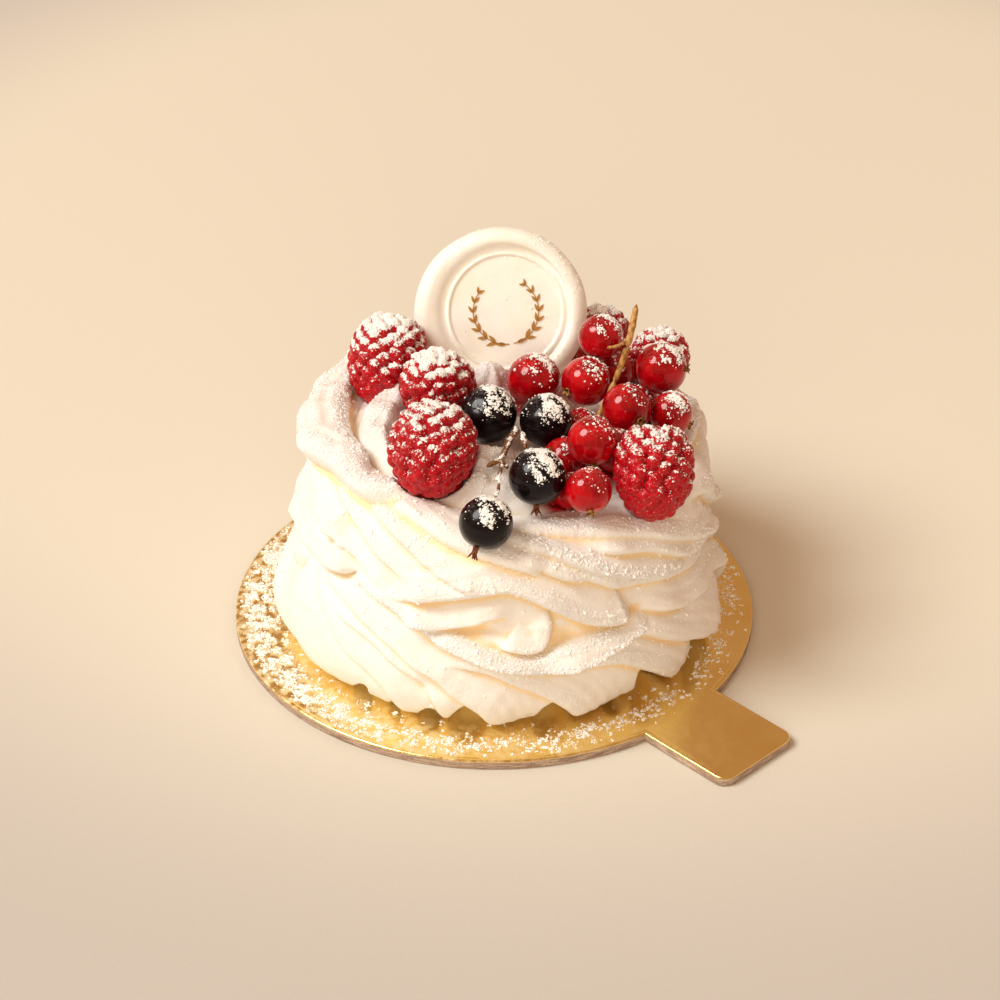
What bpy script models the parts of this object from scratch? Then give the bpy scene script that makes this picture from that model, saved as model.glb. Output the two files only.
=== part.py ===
"""A small pavlova: a piped meringue nest on a gold cake board, filled with whipped cream and topped
with raspberries, redcurrants, blackcurrants and a white chocolate seal.

Metres, +Z up. The origin is the middle of the board's underside, and the front faces -Y.
Lengths in the tables below are in millimetres and are turned into metres where they are used.
"""
import math

import bmesh
import bpy
import numpy as np
from mathutils import Matrix, Vector

MM = 0.001
GAP = 0.3                      # clear space between pieces that touch

BOARD_RADIUS = 50.0
BOARD_THICKNESS = 2.0
BOARD_STEPS = 52
TAB_WIDTH = 19.0
TAB_REACH = 68.3               # from the board's middle to the tab's end
TAB_HEADING = -46.0            # degrees from +X
TAB_CORNER = 2.5

# The nest's wall without its ropes, from the foot up the outside, over the rim and into the dish.
NEST_WALL = ((36.2, 2.3), (38.8, 4.6), (40.6, 8.5), (41.0, 13), (40.1, 20), (39, 27), (38.3, 33),
             (36.8, 38), (33.4, 41.6), (30.2, 42), (27.6, 40.4), (25.4, 38.4), (21.5, 37.4), (11, 37))
DISH_HEIGHT = NEST_WALL[-1][1]
NEST_TURNS = 72                # faces round the nest
WALL_ROWS = 25                 # faces up the wall and over the rim
DISH_ROWS = 4                  # faces from there to the middle of the dish
RIM_SHARE = 0.68               # how far along the wall's outline the dish begins
NEST_LEAN = ((0, 0.5), (14, 0.9), (37, 2.4), (46, 1.6))      # height, shift to the right
RIM_DIFFERENCE = 0.076         # the rim's rise and fall round the nest, as a share of its height
RIM_HIGH_SIDE = -145.0         # where the rim is highest, degrees from the front, + to the right
MM_PER_DEGREE = 0.733          # round the nest at its mean radius
ROPE_EDGE = 1.0                # how full a rope's section is: 1 is a parabola, 0 a box
ROPE_ABOVE = 1.35              # a rope tapers off above its crest, under the next rope,
ROPE_BELOW = 0.65              # and drops steeply below it
FLUTE_DEPTH = 0.7              # the star tube's small grooves between the ropes
FLUTE_PITCH = 5.2
FLUTE_SLOPE = 0.3

# Ropes of piped meringue on the front. Each runs from one place to another on the unrolled wall:
# degrees from the front and height along the wall at each end, how far it bows up between them,
# half its width, and how far it stands out.
FRONT_ROPES = (
    (-100, 22, -30, -2, 4.5, 5.0, 3.2), (-80, 21, -15, -2, 6.5, 4.2, 3.4), (-60, 22, 5, -2, 6.0, 4.0, 3.4),
    (-12, 16, 29, -2, 4.0, 4.0, 3.2), (18, 15.5, 55, -2, 4.5, 4.0, 3.2), (36, 17.5, 80, -2, 4.5, 4.0, 3.2),
    (50, 21, 105, -2, 3.5, 4.5, 3.2), (-50, 24.5, 42, 21, -5.0, 2.8, 4.0), (-30, 25, 12, 24, 3.8, 2.6, 3.8),
    (-68, 32.5, 25, 23, 4.0, 3.2, 4.0), (-85, 36.5, 88, 16, 5.0, 4.0, 3.6), (-95, 27.5, -38, 28.5, 0.5, 4.2, 3.6),
    (-36, 40.5, 85, 23.5, 0.0, 3.6, 4.0), (-40, 44, 88, 30.5, 0.5, 3.4, 3.8), (-115, 45.5, -34, 45.5, 0.0, 4.6, 4.4),
    (10, 44.5, 100, 37, 1.0, 3.6, 3.4),
)
BACK_TIERS = ((25, -2, 5.0, 4.4), (37, 18, 3.0, 4.0), (45, 33, 1.0, 3.8))   # start, end, bow, half width
BACK_ROPES = 6                 # ropes in each tier of the back
ROPE_POINTS = 14

# Whipped cream: radius and height of its top.
CREAM_TOP = ((26.0, 40.7), (25.0, 41.6), (23, 42.1), (18, 42.4), (10, 42.7), (0, 42.8))
CREAM_PEAKS = ((-1.0, 8.5, 4.2, 4.5), (12.5, 10.5, 3.5, 4.0), (2.0, -20, 2.0, 4.5), (-20, -4, 2.2, 7.0))
                               # small soft peaks: place, rise and width
HOLLOW_DEPTH = 1.2             # how much lower the cream is under the currants on the right
CREAM_TURNS = 36              # half as many as the nest has, so that their facets agree
CREAM_RINGS = 9
CREAM_PRESS = 1.1              # space that a berry leaves round itself where it sinks in

SEAL_RADIUS = 16.4
SEAL_LEAN = 27.0               # degrees back from upright
SEAL_TWIST = 10.0
SEAL_PLACE = (1.1, 20.0, 54.0)
SEAL_STEPS = 24
# Radius and height over the middle plane, from the pressed face out over the fat rim to the back.
SEAL_PROFILE = ((10.5, 0.9), (11.0, 1.4), (11.6, 0.9), (12.6, 1.5), (13.9, 2.3), (15.4, 1.7),
                (16.4, 0), (15.5, -1.6), (13.4, -2.2))

# Raspberries: place, radius, half length, and the tip's heading (degrees from the front) and pitch.
RASPBERRIES = (
    (-20.9, 12.0, 48.4, 7.5, 8.2, -60, 35), (-10.7, 0.2, 49.7, 7.0, 7.8, -20, 50),
    (-10.9, -21.0, 48.6, 8.1, 8.8, -12, -30), (28.2, -24.6, 46.6, 7.2, 8.8, 0, -60),
    (20.6, 26.5, 45.4, 6.2, 6.6, 160, 40), (31.0, 17.2, 45.6, 6.2, 6.8, 110, 45),
)
DRUPELET_RINGS = 8
DRUPELETS_ROUND = 12           # at the widest ring
DRUPELET_DEPTH = 0.07          # as a share of the berry's radius

# Currants: place, radius, and the dried flower's heading (degrees from the front) and pitch.
REDCURRANTS = (
    (19.8, 9.2, 55.0, 4.2, 150, -10), (17.0, 2.4, 49.4, 4.6, -50, -5), (24.1, -7.5, 49.6, 4.5, 30, -5),
    (17.4, -20.8, 50.7, 4.5, 5, -45), (16.5, -31.6, 47.2, 4.1, 5, -35), (7.4, 5.2, 48.1, 5.0, -160, -30),
    (30.8, 2.7, 52.0, 4.8, 80, 5), (32.3, -5.4, 47.2, 4.0, 80, -30), (22.6, 10.6, 46.9, 3.8, 130, 50),
    (15.8, -4.4, 43.3, 3.8, 170, 10), (21.3, -14.8, 45.2, 4.1, -120, 40), (12.7, -16.8, 44.6, 3.9, -60, 35),
    (13.6, -25.1, 42.9, 3.3, -140, 50), (27.3, 3.4, 43.9, 3.6, 0, 60),
)
BLACKCURRANTS = (
    (-1.0, -8.4, 48.8, 5.2, 150, -40), (9.4, -9.2, 48.0, 4.8, 120, -50), (7.6, -28.8, 48.2, 5.0, -5, -75),
    (-1.3, -37.4, 44.2, 4.7, -35, -50),
)
FLOWER_LENGTH = 1.3            # how far the dried flower stands out of a currant

# Stalks: points along the main stem, then each side twig from its place on the stem, and half widths.
RED_STEM = ((25.9, 3.0, 65.2), (25.2, 1.2, 62.0), (24.4, -0.8, 59.2), (22.2, -5.0, 54.2))
RED_TWIGS = (((24.4, -0.8, 59.2), (23.4, 2.0, 56.3), (20.9, 4.5, 53.3)),
             ((24.4, -0.8, 59.2), (26.4, -0.4, 58.0), (28.2, 0.6, 56.9)))
BLACK_STEM = ((4.3, -11.5, 47.8), (2.6, -17.0, 48.0), (1.1, -21.5, 47.4), (-1.3, -23.6, 47.0))
BLACK_TWIGS = (((1.1, -21.5, 47.4), (1.3, -24.6, 47.6), (0.9, -29.0, 48.2), (0.7, -33.2, 47.7)),
               ((1.1, -21.5, 47.4), (2.5, -24.3, 47.2)))
STEM_HALF_WIDTH = 0.55
TWIG_HALF_WIDTH = 0.35


def material(name, colour, roughness, metallic=0.0, transmission=0.0):
    """A Principled material in one colour."""
    made = bpy.data.materials.new(name)
    made.use_nodes = True
    shader = made.node_tree.nodes["Principled BSDF"]
    shader.inputs["Base Color"].default_value = (*colour, 1)
    shader.inputs["Roughness"].default_value = roughness
    shader.inputs["Metallic"].default_value = metallic
    shader.inputs["Transmission Weight"].default_value = transmission
    return made


def add_object(name, mesh, finish):
    """Turn a bmesh in millimetres into a smooth-shaded object in metres."""
    bmesh.ops.scale(mesh, vec=(MM, MM, MM), verts=mesh.verts)
    bmesh.ops.recalc_face_normals(mesh, faces=mesh.faces)
    data = bpy.data.meshes.new(name)
    mesh.to_mesh(data)
    mesh.free()
    data.shade_smooth()
    data.set_sharp_from_angle(angle=math.radians(50))
    data.materials.append(finish)
    made = bpy.data.objects.new(name, data)
    bpy.context.scene.collection.objects.link(made)
    return made


def direction(heading, pitch):
    """The unit vector for a heading in degrees from the front, + to the right, and a pitch."""
    turn = math.radians(heading)
    rise = math.radians(pitch)
    return Vector((math.sin(turn) * math.cos(rise), -math.cos(turn) * math.cos(rise), math.sin(rise)))


def smooth_through(points, shares):
    """Places at shares of the way along a smooth curve through the points, and its unit normals."""
    points = np.array(points, float)
    along = np.r_[0, np.cumsum(np.linalg.norm(np.diff(points, axis=0), axis=1))]
    slopes = np.gradient(points, along, axis=0)
    wanted = np.asarray(shares) * along[-1]
    first = np.clip(np.searchsorted(along, wanted) - 1, 0, len(points) - 2)
    span = (along[first + 1] - along[first])[:, None]
    t = (wanted - along[first])[:, None] / span
    curve = ((2 * t**3 - 3 * t**2 + 1) * points[first] + (t**3 - 2 * t**2 + t) * span * slopes[first]
             + (3 * t**2 - 2 * t**3) * points[first + 1] + (t**3 - t**2) * span * slopes[first + 1])
    run = np.gradient(curve, wanted, axis=0)
    run /= np.linalg.norm(run, axis=1)[:, None]
    return wanted, curve, np.stack([run[:, 1], -run[:, 0]], axis=1)


def add_grid(mesh, rows):
    """Skin closed rows of points with quads, and return the rows of vertices."""
    made = [[mesh.verts.new(point) for point in row] for row in rows]
    for lower, upper in zip(made, made[1:]):
        for i, vert in enumerate(lower):
            j = (i + 1) % len(lower)
            mesh.faces.new((vert, lower[j], upper[j], upper[i]))
    return made


def close_with_fan(mesh, row, middle):
    """Close one open row with triangles to a middle point."""
    centre = mesh.verts.new(middle)
    for i, vert in enumerate(row):
        mesh.faces.new((vert, row[(i + 1) % len(row)], centre))


def press(points, balls, clear):
    """Sink a top surface under the balls that lie in it, leaving some space round each."""
    for x, y, z, radius in balls:
        reach = (radius + clear) ** 2 - (points[..., 0] - x) ** 2 - (points[..., 1] - y) ** 2
        under = z - np.sqrt(np.maximum(reach, 0))
        points[..., 2] = np.where(reach > 0, np.minimum(points[..., 2], under), points[..., 2])


def berry_balls():
    """Every berry as one ball, or two for a long raspberry."""
    balls = [berry[:4] for berry in REDCURRANTS + BLACKCURRANTS]
    for x, y, z, radius, half_length, heading, pitch in RASPBERRIES:
        tip = direction(heading, pitch) * (half_length - radius)
        balls += [(x + tip.x, y + tip.y, z + tip.z, radius), (x - tip.x, y - tip.y, z - tip.z, radius)]
    return balls


def cake_board():
    """A card disc with a tab to lift it by."""
    half_tab = TAB_WIDTH / 2
    root = math.asin(half_tab / BOARD_RADIUS)
    outline = []
    for i in range(BOARD_STEPS + 1):
        angle = root + (2 * math.pi - 2 * root) * i / BOARD_STEPS
        outline.append((BOARD_RADIUS * math.cos(angle), BOARD_RADIUS * math.sin(angle)))
    for side in (-1, 1):
        for i in range(5):
            angle = math.pi / 2 * i / 4 - (math.pi / 2 if side < 0 else 0)
            outline.append((TAB_REACH - TAB_CORNER + TAB_CORNER * math.cos(angle),
                            side * (half_tab - TAB_CORNER) + TAB_CORNER * math.sin(angle)))
    turn = Matrix.Rotation(math.radians(TAB_HEADING), 3, "Z")
    mesh = bmesh.new()
    face = mesh.faces.new([mesh.verts.new(turn @ Vector((x, y, 0))) for x, y in outline])
    raised = bmesh.ops.extrude_face_region(mesh, geom=[face])["geom"]
    top = [item for item in raised if isinstance(item, bmesh.types.BMVert)]
    bmesh.ops.translate(mesh, vec=(0, 0, BOARD_THICKNESS), verts=top)
    return add_object("cake_board", mesh, material("gold_card", (0.75, 0.47, 0.16), 0.3, 0.9))


def ropes():
    """The front ropes and the rows of ropes that go on round the back."""
    for rope in FRONT_ROPES:
        yield rope
    for tier, (start, end, bow, half_width) in enumerate(BACK_TIERS):
        for i in range(BACK_ROPES):
            at = 86 + 28 * i + 9 * tier + 4 * math.sin(5 * i + tier)
            sweep = 62 + 8 * math.sin(3 * i + 2 * tier)
            rise = 1.5 * math.sin(7 * i + 4 * tier)
            yield (at, start + rise, at + sweep, end + rise / 2, bow, half_width, 2.9)


def rope_relief(degrees, height):
    """How far the ropes stand out from the wall at each place on it."""
    relief = np.zeros(np.broadcast(degrees, height).shape)
    for start, low, end, high, bow, half_width, lift in ropes():
        t = np.linspace(0, 1, ROPE_POINTS)
        path_x = (start + (end - start) * t) * MM_PER_DEGREE
        path_y = low + (high - low) * t + 4 * bow * t * (1 - t)
        middle = (start + end) / 2
        x = ((degrees - middle + 180) % 360 - 180 + middle) * MM_PER_DEGREE
        nearest = np.full(relief.shape, 1e9)
        stand = np.zeros(relief.shape)
        for i in range(ROPE_POINTS - 1):
            dx, dy = path_x[i + 1] - path_x[i], path_y[i + 1] - path_y[i]
            along = ((x - path_x[i]) * dx + (height - path_y[i]) * dy) / (dx * dx + dy * dy)
            along = np.clip(along, 0, 1)
            off_x = x - path_x[i] - along * dx
            off_y = height - path_y[i] - along * dy
            width = half_width * np.where(off_y > 0, ROPE_ABOVE, ROPE_BELOW)
            away = (off_x**2 + off_y**2) / width**2
            place = t[i] + along * (t[i + 1] - t[i])
            taper = np.clip(place / 0.15, 0, 1) * np.clip((1 - place) / 0.12, 0, 1) ** 0.5
            taper = np.maximum(taper, (high < 0) * (place > 0.5))
            here = lift * taper * np.clip(1 - away, 0, 1) ** ROPE_EDGE
            stand = np.where(away < nearest, here, stand)
            nearest = np.minimum(nearest, away)
        relief = np.maximum(relief, stand)
    flute = np.cos(2 * math.pi * (height + FLUTE_SLOPE * degrees * MM_PER_DEGREE) / FLUTE_PITCH)
    return np.maximum(relief, FLUTE_DEPTH * (0.5 + 0.5 * flute))


def nest_lean(z):
    """How far the nest leans to the right at a height."""
    return np.interp(z, *np.array(NEST_LEAN).T)


def nest_outline():
    """The nest's rows: distances along its wall, places and normals, close together on the ropes."""
    wall = np.linspace(0, RIM_SHARE, WALL_ROWS, endpoint=False)
    return smooth_through(NEST_WALL, np.r_[wall, np.linspace(RIM_SHARE, 1, DISH_ROWS + 1)])


def nest_surface():
    """Rows of points over the nest, from its foot over the rim to the middle of the dish."""
    height, wall, normal = nest_outline()
    degrees = np.arange(NEST_TURNS) * 360 / NEST_TURNS
    in_dish = np.where(height > height[-1] / 2, np.clip((35 - wall[:, 0]) / 5, 0, 1), 0)[:, None]
    relief = rope_relief(degrees[None, :], height[:, None]) * (1 - in_dish)
    normal[:, 1] *= np.clip(height / 6, 0, 1)
    radius = wall[:, :1] + relief * normal[:, :1]
    z = wall[:, 1:] + relief * normal[:, 1:]
    turn = np.radians(degrees)[None, :]
    rise = 1 + RIM_DIFFERENCE * np.cos(turn - math.radians(RIM_HIGH_SIDE)) * (1 - in_dish)
    z = wall[0, 1] + (z - wall[0, 1]) * rise
    shift = nest_lean(z) * (1 - in_dish) + nest_lean(DISH_HEIGHT) * in_dish
    return np.stack([shift + radius * np.sin(turn), -radius * np.cos(turn), z], axis=-1)


def meringue():
    """The nest as one solid, with dents where berries rest on its rim."""
    points = nest_surface()
    press(points, berry_balls(), CREAM_PRESS)
    mesh = bmesh.new()
    rows = add_grid(mesh, points)
    mesh.faces.new(rows[0])
    close_with_fan(mesh, rows[-1], (points[-1, :, 0].mean(), 0, points[-1, 0, 2]))
    return add_object("meringue", mesh, material("meringue", (0.93, 0.88, 0.78), 0.6))


def whipped_cream(seal):
    """Cream that fills the dish, dented by the berries and slit by the seal's foot."""
    lean = nest_lean(DISH_HEIGHT)
    ring = np.radians(np.arange(CREAM_TURNS) * 360 / CREAM_TURNS)
    _, top, _ = smooth_through(CREAM_TOP, np.linspace(0, 1, CREAM_RINGS + 1))
    _, wall, _ = nest_outline()
    under = wall[:WALL_ROWS - 1:-1] + (0, 2 * GAP)
    under = under[under[:, 0] < CREAM_TOP[0][0] - 0.2]
    profile = np.concatenate([under, top[:-1]])[:, :, None]
    points = np.stack([lean + profile[:, 0] * np.sin(ring), -profile[:, 0] * np.cos(ring),
                       np.repeat(profile[:, 1], CREAM_TURNS, axis=1)], axis=-1)
    lumps = (0.5 * np.sin(0.42 * points[..., 0] + 0.3 * points[..., 1] + 1)
             * np.cos(0.35 * points[..., 1] - 0.2 * points[..., 0]))
    for x, y, rise, width in CREAM_PEAKS:
        lumps += rise * np.exp(-((points[..., 0] - x) ** 2 + (points[..., 1] - y) ** 2) / width**2)
    hollow = np.clip((points[..., 0] - 3) / 8, 0, 1)
    upper = len(under) + 1
    points[upper:, :, 2] += lumps[upper:] - HOLLOW_DEPTH * hollow[upper:]
    pressed = points[len(under):].copy()
    press(pressed, berry_balls(), CREAM_PRESS)
    points[len(under):] = pressed
    mesh = bmesh.new()
    made = add_grid(mesh, points)
    close_with_fan(mesh, made[0], (lean, 0, points[0, 0, 2]))
    middle = np.array([[lean, 0, top[-1, 1]]])
    press(middle, berry_balls(), CREAM_PRESS)
    close_with_fan(mesh, made[-1], tuple(middle[0]))
    cream = add_object("whipped_cream", mesh, material("whipped_cream", (0.95, 0.92, 0.86), 0.5))
    slit = seal_body("seal_slit", SEAL_RADIUS + 2 * GAP, 1.5 * GAP)
    slit.matrix_world = seal.matrix_world
    slit.hide_render = True
    slit.display_type = "WIRE"
    cut = cream.modifiers.new("seal slit", "BOOLEAN")
    cut.object = slit
    cut.operation = "DIFFERENCE"
    return cream


def seal_body(name, radius, grown=0.0):
    """A poured disc: a fat uneven rim round a pressed face with one thin raised ring."""
    steps = np.arange(SEAL_STEPS) * 2 * math.pi / SEAL_STEPS
    uneven = 1 + 0.012 * np.sin(2 * steps + 0.6) + 0.008 * np.sin(5 * steps + 2)
    aside = 1.1 * np.array((1.0, 0.2))
    profile = SEAL_PROFILE if not grown else ((radius - 2, 2.3 + grown), (radius, 1), (radius, -1),
                                              (radius - 2, -2.2 - grown))
    rows = []
    for distance, z in profile:
        outer = np.clip((distance - 12.2) / 1.5, 0, 1)
        reach = distance * (1 + (uneven - 1) * outer)
        rows.append(np.stack([reach * np.cos(steps) + aside[0] * (1 - outer),
                              reach * np.sin(steps) + aside[1] * (1 - outer),
                              np.full(SEAL_STEPS, z)], axis=-1))
    mesh = bmesh.new()
    made = add_grid(mesh, rows)
    mesh.faces.new(made[0])
    mesh.faces.new(made[-1])
    return add_object(name, mesh, material("white_chocolate", (0.89, 0.80, 0.63), 0.35))


def seal_disc():
    """The seal, leaning back in the cream behind the berries."""
    seal = seal_body("seal_disc", SEAL_RADIUS)
    upright = Matrix.Rotation(math.radians(90 - SEAL_LEAN), 4, "X")
    twist = Matrix.Rotation(math.radians(SEAL_TWIST), 4, "Z")
    seal.matrix_world = Matrix.Translation(Vector(SEAL_PLACE) * MM) @ upright @ twist
    return seal


def raspberry(name, x, y, z, radius, half_length, heading, pitch, finish):
    """An egg of drupelets: each is a crest whose neighbours meet it in a pit."""
    mesh = bmesh.new()
    for ring in range(DRUPELET_RINGS + 1):
        angle = math.pi * ring / DRUPELET_RINGS
        count = max(1, round(DRUPELETS_ROUND * math.sin(angle)))
        wide = radius * math.sin(angle) * (1 - 0.08 * math.cos(angle))
        for i in range(count):
            turn = 2 * math.pi * (i + 0.5 * (ring % 2)) / count
            mesh.verts.new((wide * math.cos(turn), wide * math.sin(turn), half_length * math.cos(angle)))
    bmesh.ops.convex_hull(mesh, input=mesh.verts)
    between_crests = mesh.edges[:]
    pits = bmesh.ops.poke(mesh, faces=mesh.faces)["verts"]
    bmesh.ops.scale(mesh, vec=[1 - DRUPELET_DEPTH] * 3, verts=pits)
    bmesh.ops.rotate_edges(mesh, edges=between_crests, use_ccw=False)
    turn = direction(heading, pitch).to_track_quat("Z", "Y").to_matrix().to_4x4()
    made = add_object(name, mesh, finish)
    made.matrix_world = Matrix.Translation(Vector((x, y, z)) * MM) @ turn
    return made


def currant(name, x, y, z, radius, heading, pitch, finish):
    """A round berry with its dried flower drawn out to a short point."""
    mesh = bmesh.new()
    bmesh.ops.create_icosphere(mesh, subdivisions=2, radius=radius)
    flower = max(mesh.verts, key=lambda vert: vert.co.z)
    flower.co.z += FLOWER_LENGTH
    turn = direction(heading, pitch).to_track_quat("Z", "Y").to_matrix().to_4x4()
    made = add_object(name, mesh, finish)
    made.matrix_world = Matrix.Translation(Vector((x, y, z)) * MM) @ turn
    return made


def tube(name, path, half_width, finish):
    """A closed tube along a path, narrower towards its far end."""
    points = [Vector(point) for point in path]
    mesh = bmesh.new()
    rows = []
    for i, point in enumerate(points):
        run = (points[min(i + 1, len(points) - 1)] - points[max(i - 1, 0)]).normalized()
        across = run.cross(Vector((0.3, 0.2, 1))).normalized()
        wide = half_width * (1 - 0.25 * i / len(points))
        rows.append([point + wide * (Matrix.Rotation(math.radians(60 * k), 3, run) @ across) for k in range(6)])
    made = add_grid(mesh, rows)
    mesh.faces.new(made[0])
    mesh.faces.new(made[-1])
    return add_object(name, mesh, finish)


def stalk(name, stem, twigs, finish):
    """A stem whose side twigs are joined to it."""
    made = tube(name, stem, STEM_HALF_WIDTH, finish)
    for i, path in enumerate(twigs, 1):
        twig = tube(f"{name}_twig_{i}", path, TWIG_HALF_WIDTH, finish)
        twig.hide_render = True
        twig.display_type = "WIRE"
        join = made.modifiers.new(f"twig {i}", "BOOLEAN")
        join.operation = "UNION"
        join.object = twig
    return made


def build():
    """Make every piece from the board up."""
    for old in list(bpy.data.objects):
        bpy.data.objects.remove(old)
    cake_board()
    meringue()
    whipped_cream(seal_disc())
    raspberry_red = material("raspberry", (0.48, 0.02, 0.03), 0.4)
    currant_red = material("redcurrant", (0.55, 0.01, 0.01), 0.12, transmission=0.4)
    currant_black = material("blackcurrant", (0.02, 0.01, 0.02), 0.3)
    stalk_green = material("stalk", (0.36, 0.26, 0.10), 0.6)
    for i, berry in enumerate(RASPBERRIES, 1):
        raspberry(f"raspberry_{i}", *berry, raspberry_red)
    for i, berry in enumerate(REDCURRANTS, 1):
        currant(f"redcurrant_{i}", *berry, currant_red)
    for i, berry in enumerate(BLACKCURRANTS, 1):
        currant(f"blackcurrant_{i}", *berry, currant_black)
    stalk("redcurrant_stalk", RED_STEM, RED_TWIGS, stalk_green)
    stalk("blackcurrant_stalk", BLACK_STEM, BLACK_TWIGS, stalk_green)


build()
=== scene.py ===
"""The looks of a small pavlova: a piped meringue nest on a gold cake board, filled with whipped cream and
topped with raspberries, redcurrants, blackcurrants and a white chocolate seal, all dusted with icing sugar.

Metres, +Z up, with the origin in the middle of the board's underside and the front facing -Y. Tables are
in millimetres. A heading is in degrees round from the front, + to the right.
"""
import math

import bmesh
import bpy
import numpy as np
from mathutils import Matrix, Vector


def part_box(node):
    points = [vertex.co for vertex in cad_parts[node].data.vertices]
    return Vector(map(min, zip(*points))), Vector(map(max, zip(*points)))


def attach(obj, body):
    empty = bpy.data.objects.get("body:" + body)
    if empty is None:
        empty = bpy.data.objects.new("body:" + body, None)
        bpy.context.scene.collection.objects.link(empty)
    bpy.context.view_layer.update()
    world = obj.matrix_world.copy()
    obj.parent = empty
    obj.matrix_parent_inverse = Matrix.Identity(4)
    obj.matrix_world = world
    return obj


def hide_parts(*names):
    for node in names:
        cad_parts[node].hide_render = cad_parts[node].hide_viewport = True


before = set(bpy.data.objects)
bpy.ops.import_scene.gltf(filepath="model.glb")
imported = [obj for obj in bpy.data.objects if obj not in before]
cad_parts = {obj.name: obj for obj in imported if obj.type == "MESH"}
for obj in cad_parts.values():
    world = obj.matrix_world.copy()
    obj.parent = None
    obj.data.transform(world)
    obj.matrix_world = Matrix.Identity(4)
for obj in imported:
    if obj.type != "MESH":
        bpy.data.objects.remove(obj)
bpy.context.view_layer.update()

# ---- Cake board ----------------------------------------------------------------------------------
# Greyboard two millimetres thick with satin gold foil on its top, die-cut as a disc with a tab to lift
# it by. The cut rounds the foil over at the edge and presses a fine line just inside it.
MM = 0.001
BOARD_RADIUS = 50.0
TAB_HALF_WIDTH = 9.5
TAB_REACH = 68.3
TAB_CORNER = 2.5
TAB_HEADING = 44.0
BOARD_STEPS = 240
CORNER_STEPS = 9
SHARP_EDGE = 40.0              # degrees, where the card's cut edge meets its underside
# The edge's section from the middle of the foil, over the edge, to the underside: inset and height.
FOIL_EDGE = ((1.15, 2.0), (0.95, 1.93), (0.75, 1.98), (0.45, 1.97), (0.2, 1.9), (0.06, 1.77), (0.0, 1.6))
CARD_EDGE = ((0.0, 1.1), (0.02, 0.6), (0.0, 0.2), (0.12, 0.03), (0.35, 0.0))


class Wire:
    """An output in a finish. Arithmetic on it adds Math nodes."""

    def __init__(self, finish, socket):
        self.finish = finish
        self.socket = socket

    def calc(self, operation, *values):
        """What a Math node makes of these values."""
        return self.finish.node("Math", {"operation": operation}, dict(enumerate(values)))

    def __add__(self, other):
        return self.calc("ADD", self, other)

    def __sub__(self, other):
        return self.calc("SUBTRACT", self, other)

    def __rsub__(self, other):
        return self.calc("SUBTRACT", other, self)

    def __mul__(self, other):
        return self.calc("MULTIPLY", self, other)

    def __truediv__(self, other):
        return self.calc("DIVIDE", self, other)

    def __pow__(self, other):
        return self.calc("POWER", self, other)

    __radd__ = __add__
    __rmul__ = __mul__

    def ramp(self, low, high):
        """0 at low, 1 at high, and a smooth rise between them."""
        settings = {"interpolation_type": "SMOOTHSTEP"}
        return self.finish.node("MapRange", settings, {"Value": self, "From Min": low, "From Max": high})


class Finish:
    """A material whose colour, sheen and grain come from nodes."""

    def __init__(self, name):
        self.material = bpy.data.materials.new(name)
        self.material.use_nodes = True
        self.tree = self.material.node_tree
        self.tree.nodes.clear()
        self.place = self.node("TexCoord", output="Object")

    def node(self, kind, settings=None, sockets=None, output=0):
        """A node of that kind, with its settings, the values or wires of its sockets, and one output."""
        made = self.tree.nodes.new("ShaderNode" + kind)
        for key, value in (settings or {}).items():
            setattr(made, key, value)
        for key, value in (sockets or {}).items():
            if isinstance(value, Wire):
                self.tree.links.new(value.socket, made.inputs[key])
            else:
                made.inputs[key].default_value = value
        return Wire(self, made.outputs[output]) if len(made.outputs) else made

    def noise(self, size, detail=2.0, place=None):
        """Noise whose blotches are about that many millimetres across."""
        sockets = {"Vector": place or self.place, "Scale": 1 / (size * MM), "Detail": detail}
        return self.node("TexNoise", None, sockets)

    def mix(self, factor, first, second):
        """From the first colour to the second."""
        return self.node("Mix", {"data_type": "RGBA"}, {0: factor, 6: first, 7: second}, 2)

    def attribute(self, name, output="Fac"):
        """What a mesh stores at its points under that name."""
        return self.node("Attribute", {"attribute_name": name}, None, output)

    def bump(self, height, depth, below=None):
        """Relief of that many millimetres, over any relief below it."""
        sockets = {"Height": height, "Distance": depth * MM}
        if below:
            sockets["Normal"] = below
        return self.node("Bump", None, sockets)

    def split(self, vector):
        """The X, Y and Z of a vector."""
        return [Wire(self, part) for part in self.node("SeparateXYZ", None, {0: vector}).socket.node.outputs]

    def facing_up(self):
        """1 where the surface faces up, and -1 where it faces down."""
        return self.split(self.node("NewGeometry", output="Normal"))[2]

    def shade(self, **sockets):
        """The surface itself, a Principled shader with these sockets."""
        named = {key.replace("_", " "): value for key, value in sockets.items()}
        self.node("OutputMaterial", None, {"Surface": self.node("BsdfPrincipled", None, named)})
        return self.material


def colour(red, green, blue):
    """A colour from the 0 to 255 values of a colour card."""
    return (*(((c / 255 + 0.055) / 1.055) ** 2.4 if c > 10 else c / 3295 for c in (red, green, blue)), 1.0)


def heading(degrees, pitch=0.0):
    """The unit vector that way."""
    turn = math.radians(degrees)
    rise = math.radians(pitch)
    return Vector((math.sin(turn) * math.cos(rise), -math.cos(turn) * math.cos(rise), math.sin(rise)))


def tube_faces(rows, columns, start=0, flipped=False):
    """The quads that skin rows of points, each row one ring, and a face over either end."""
    row, column = np.meshgrid(np.arange(rows - 1), np.arange(columns), indexing="ij")
    after = (column + 1) % columns
    quads = np.stack([row * columns + column, row * columns + after,
                      (row + 1) * columns + after, (row + 1) * columns + column], axis=-1)
    ends = np.arange(columns)[::-1], np.arange((rows - 1) * columns, rows * columns)
    faces = (quads.reshape(-1, 4) + start).tolist() + [(end + start).tolist() for end in ends]
    return [face[::-1] for face in faces] if flipped else faces


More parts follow.
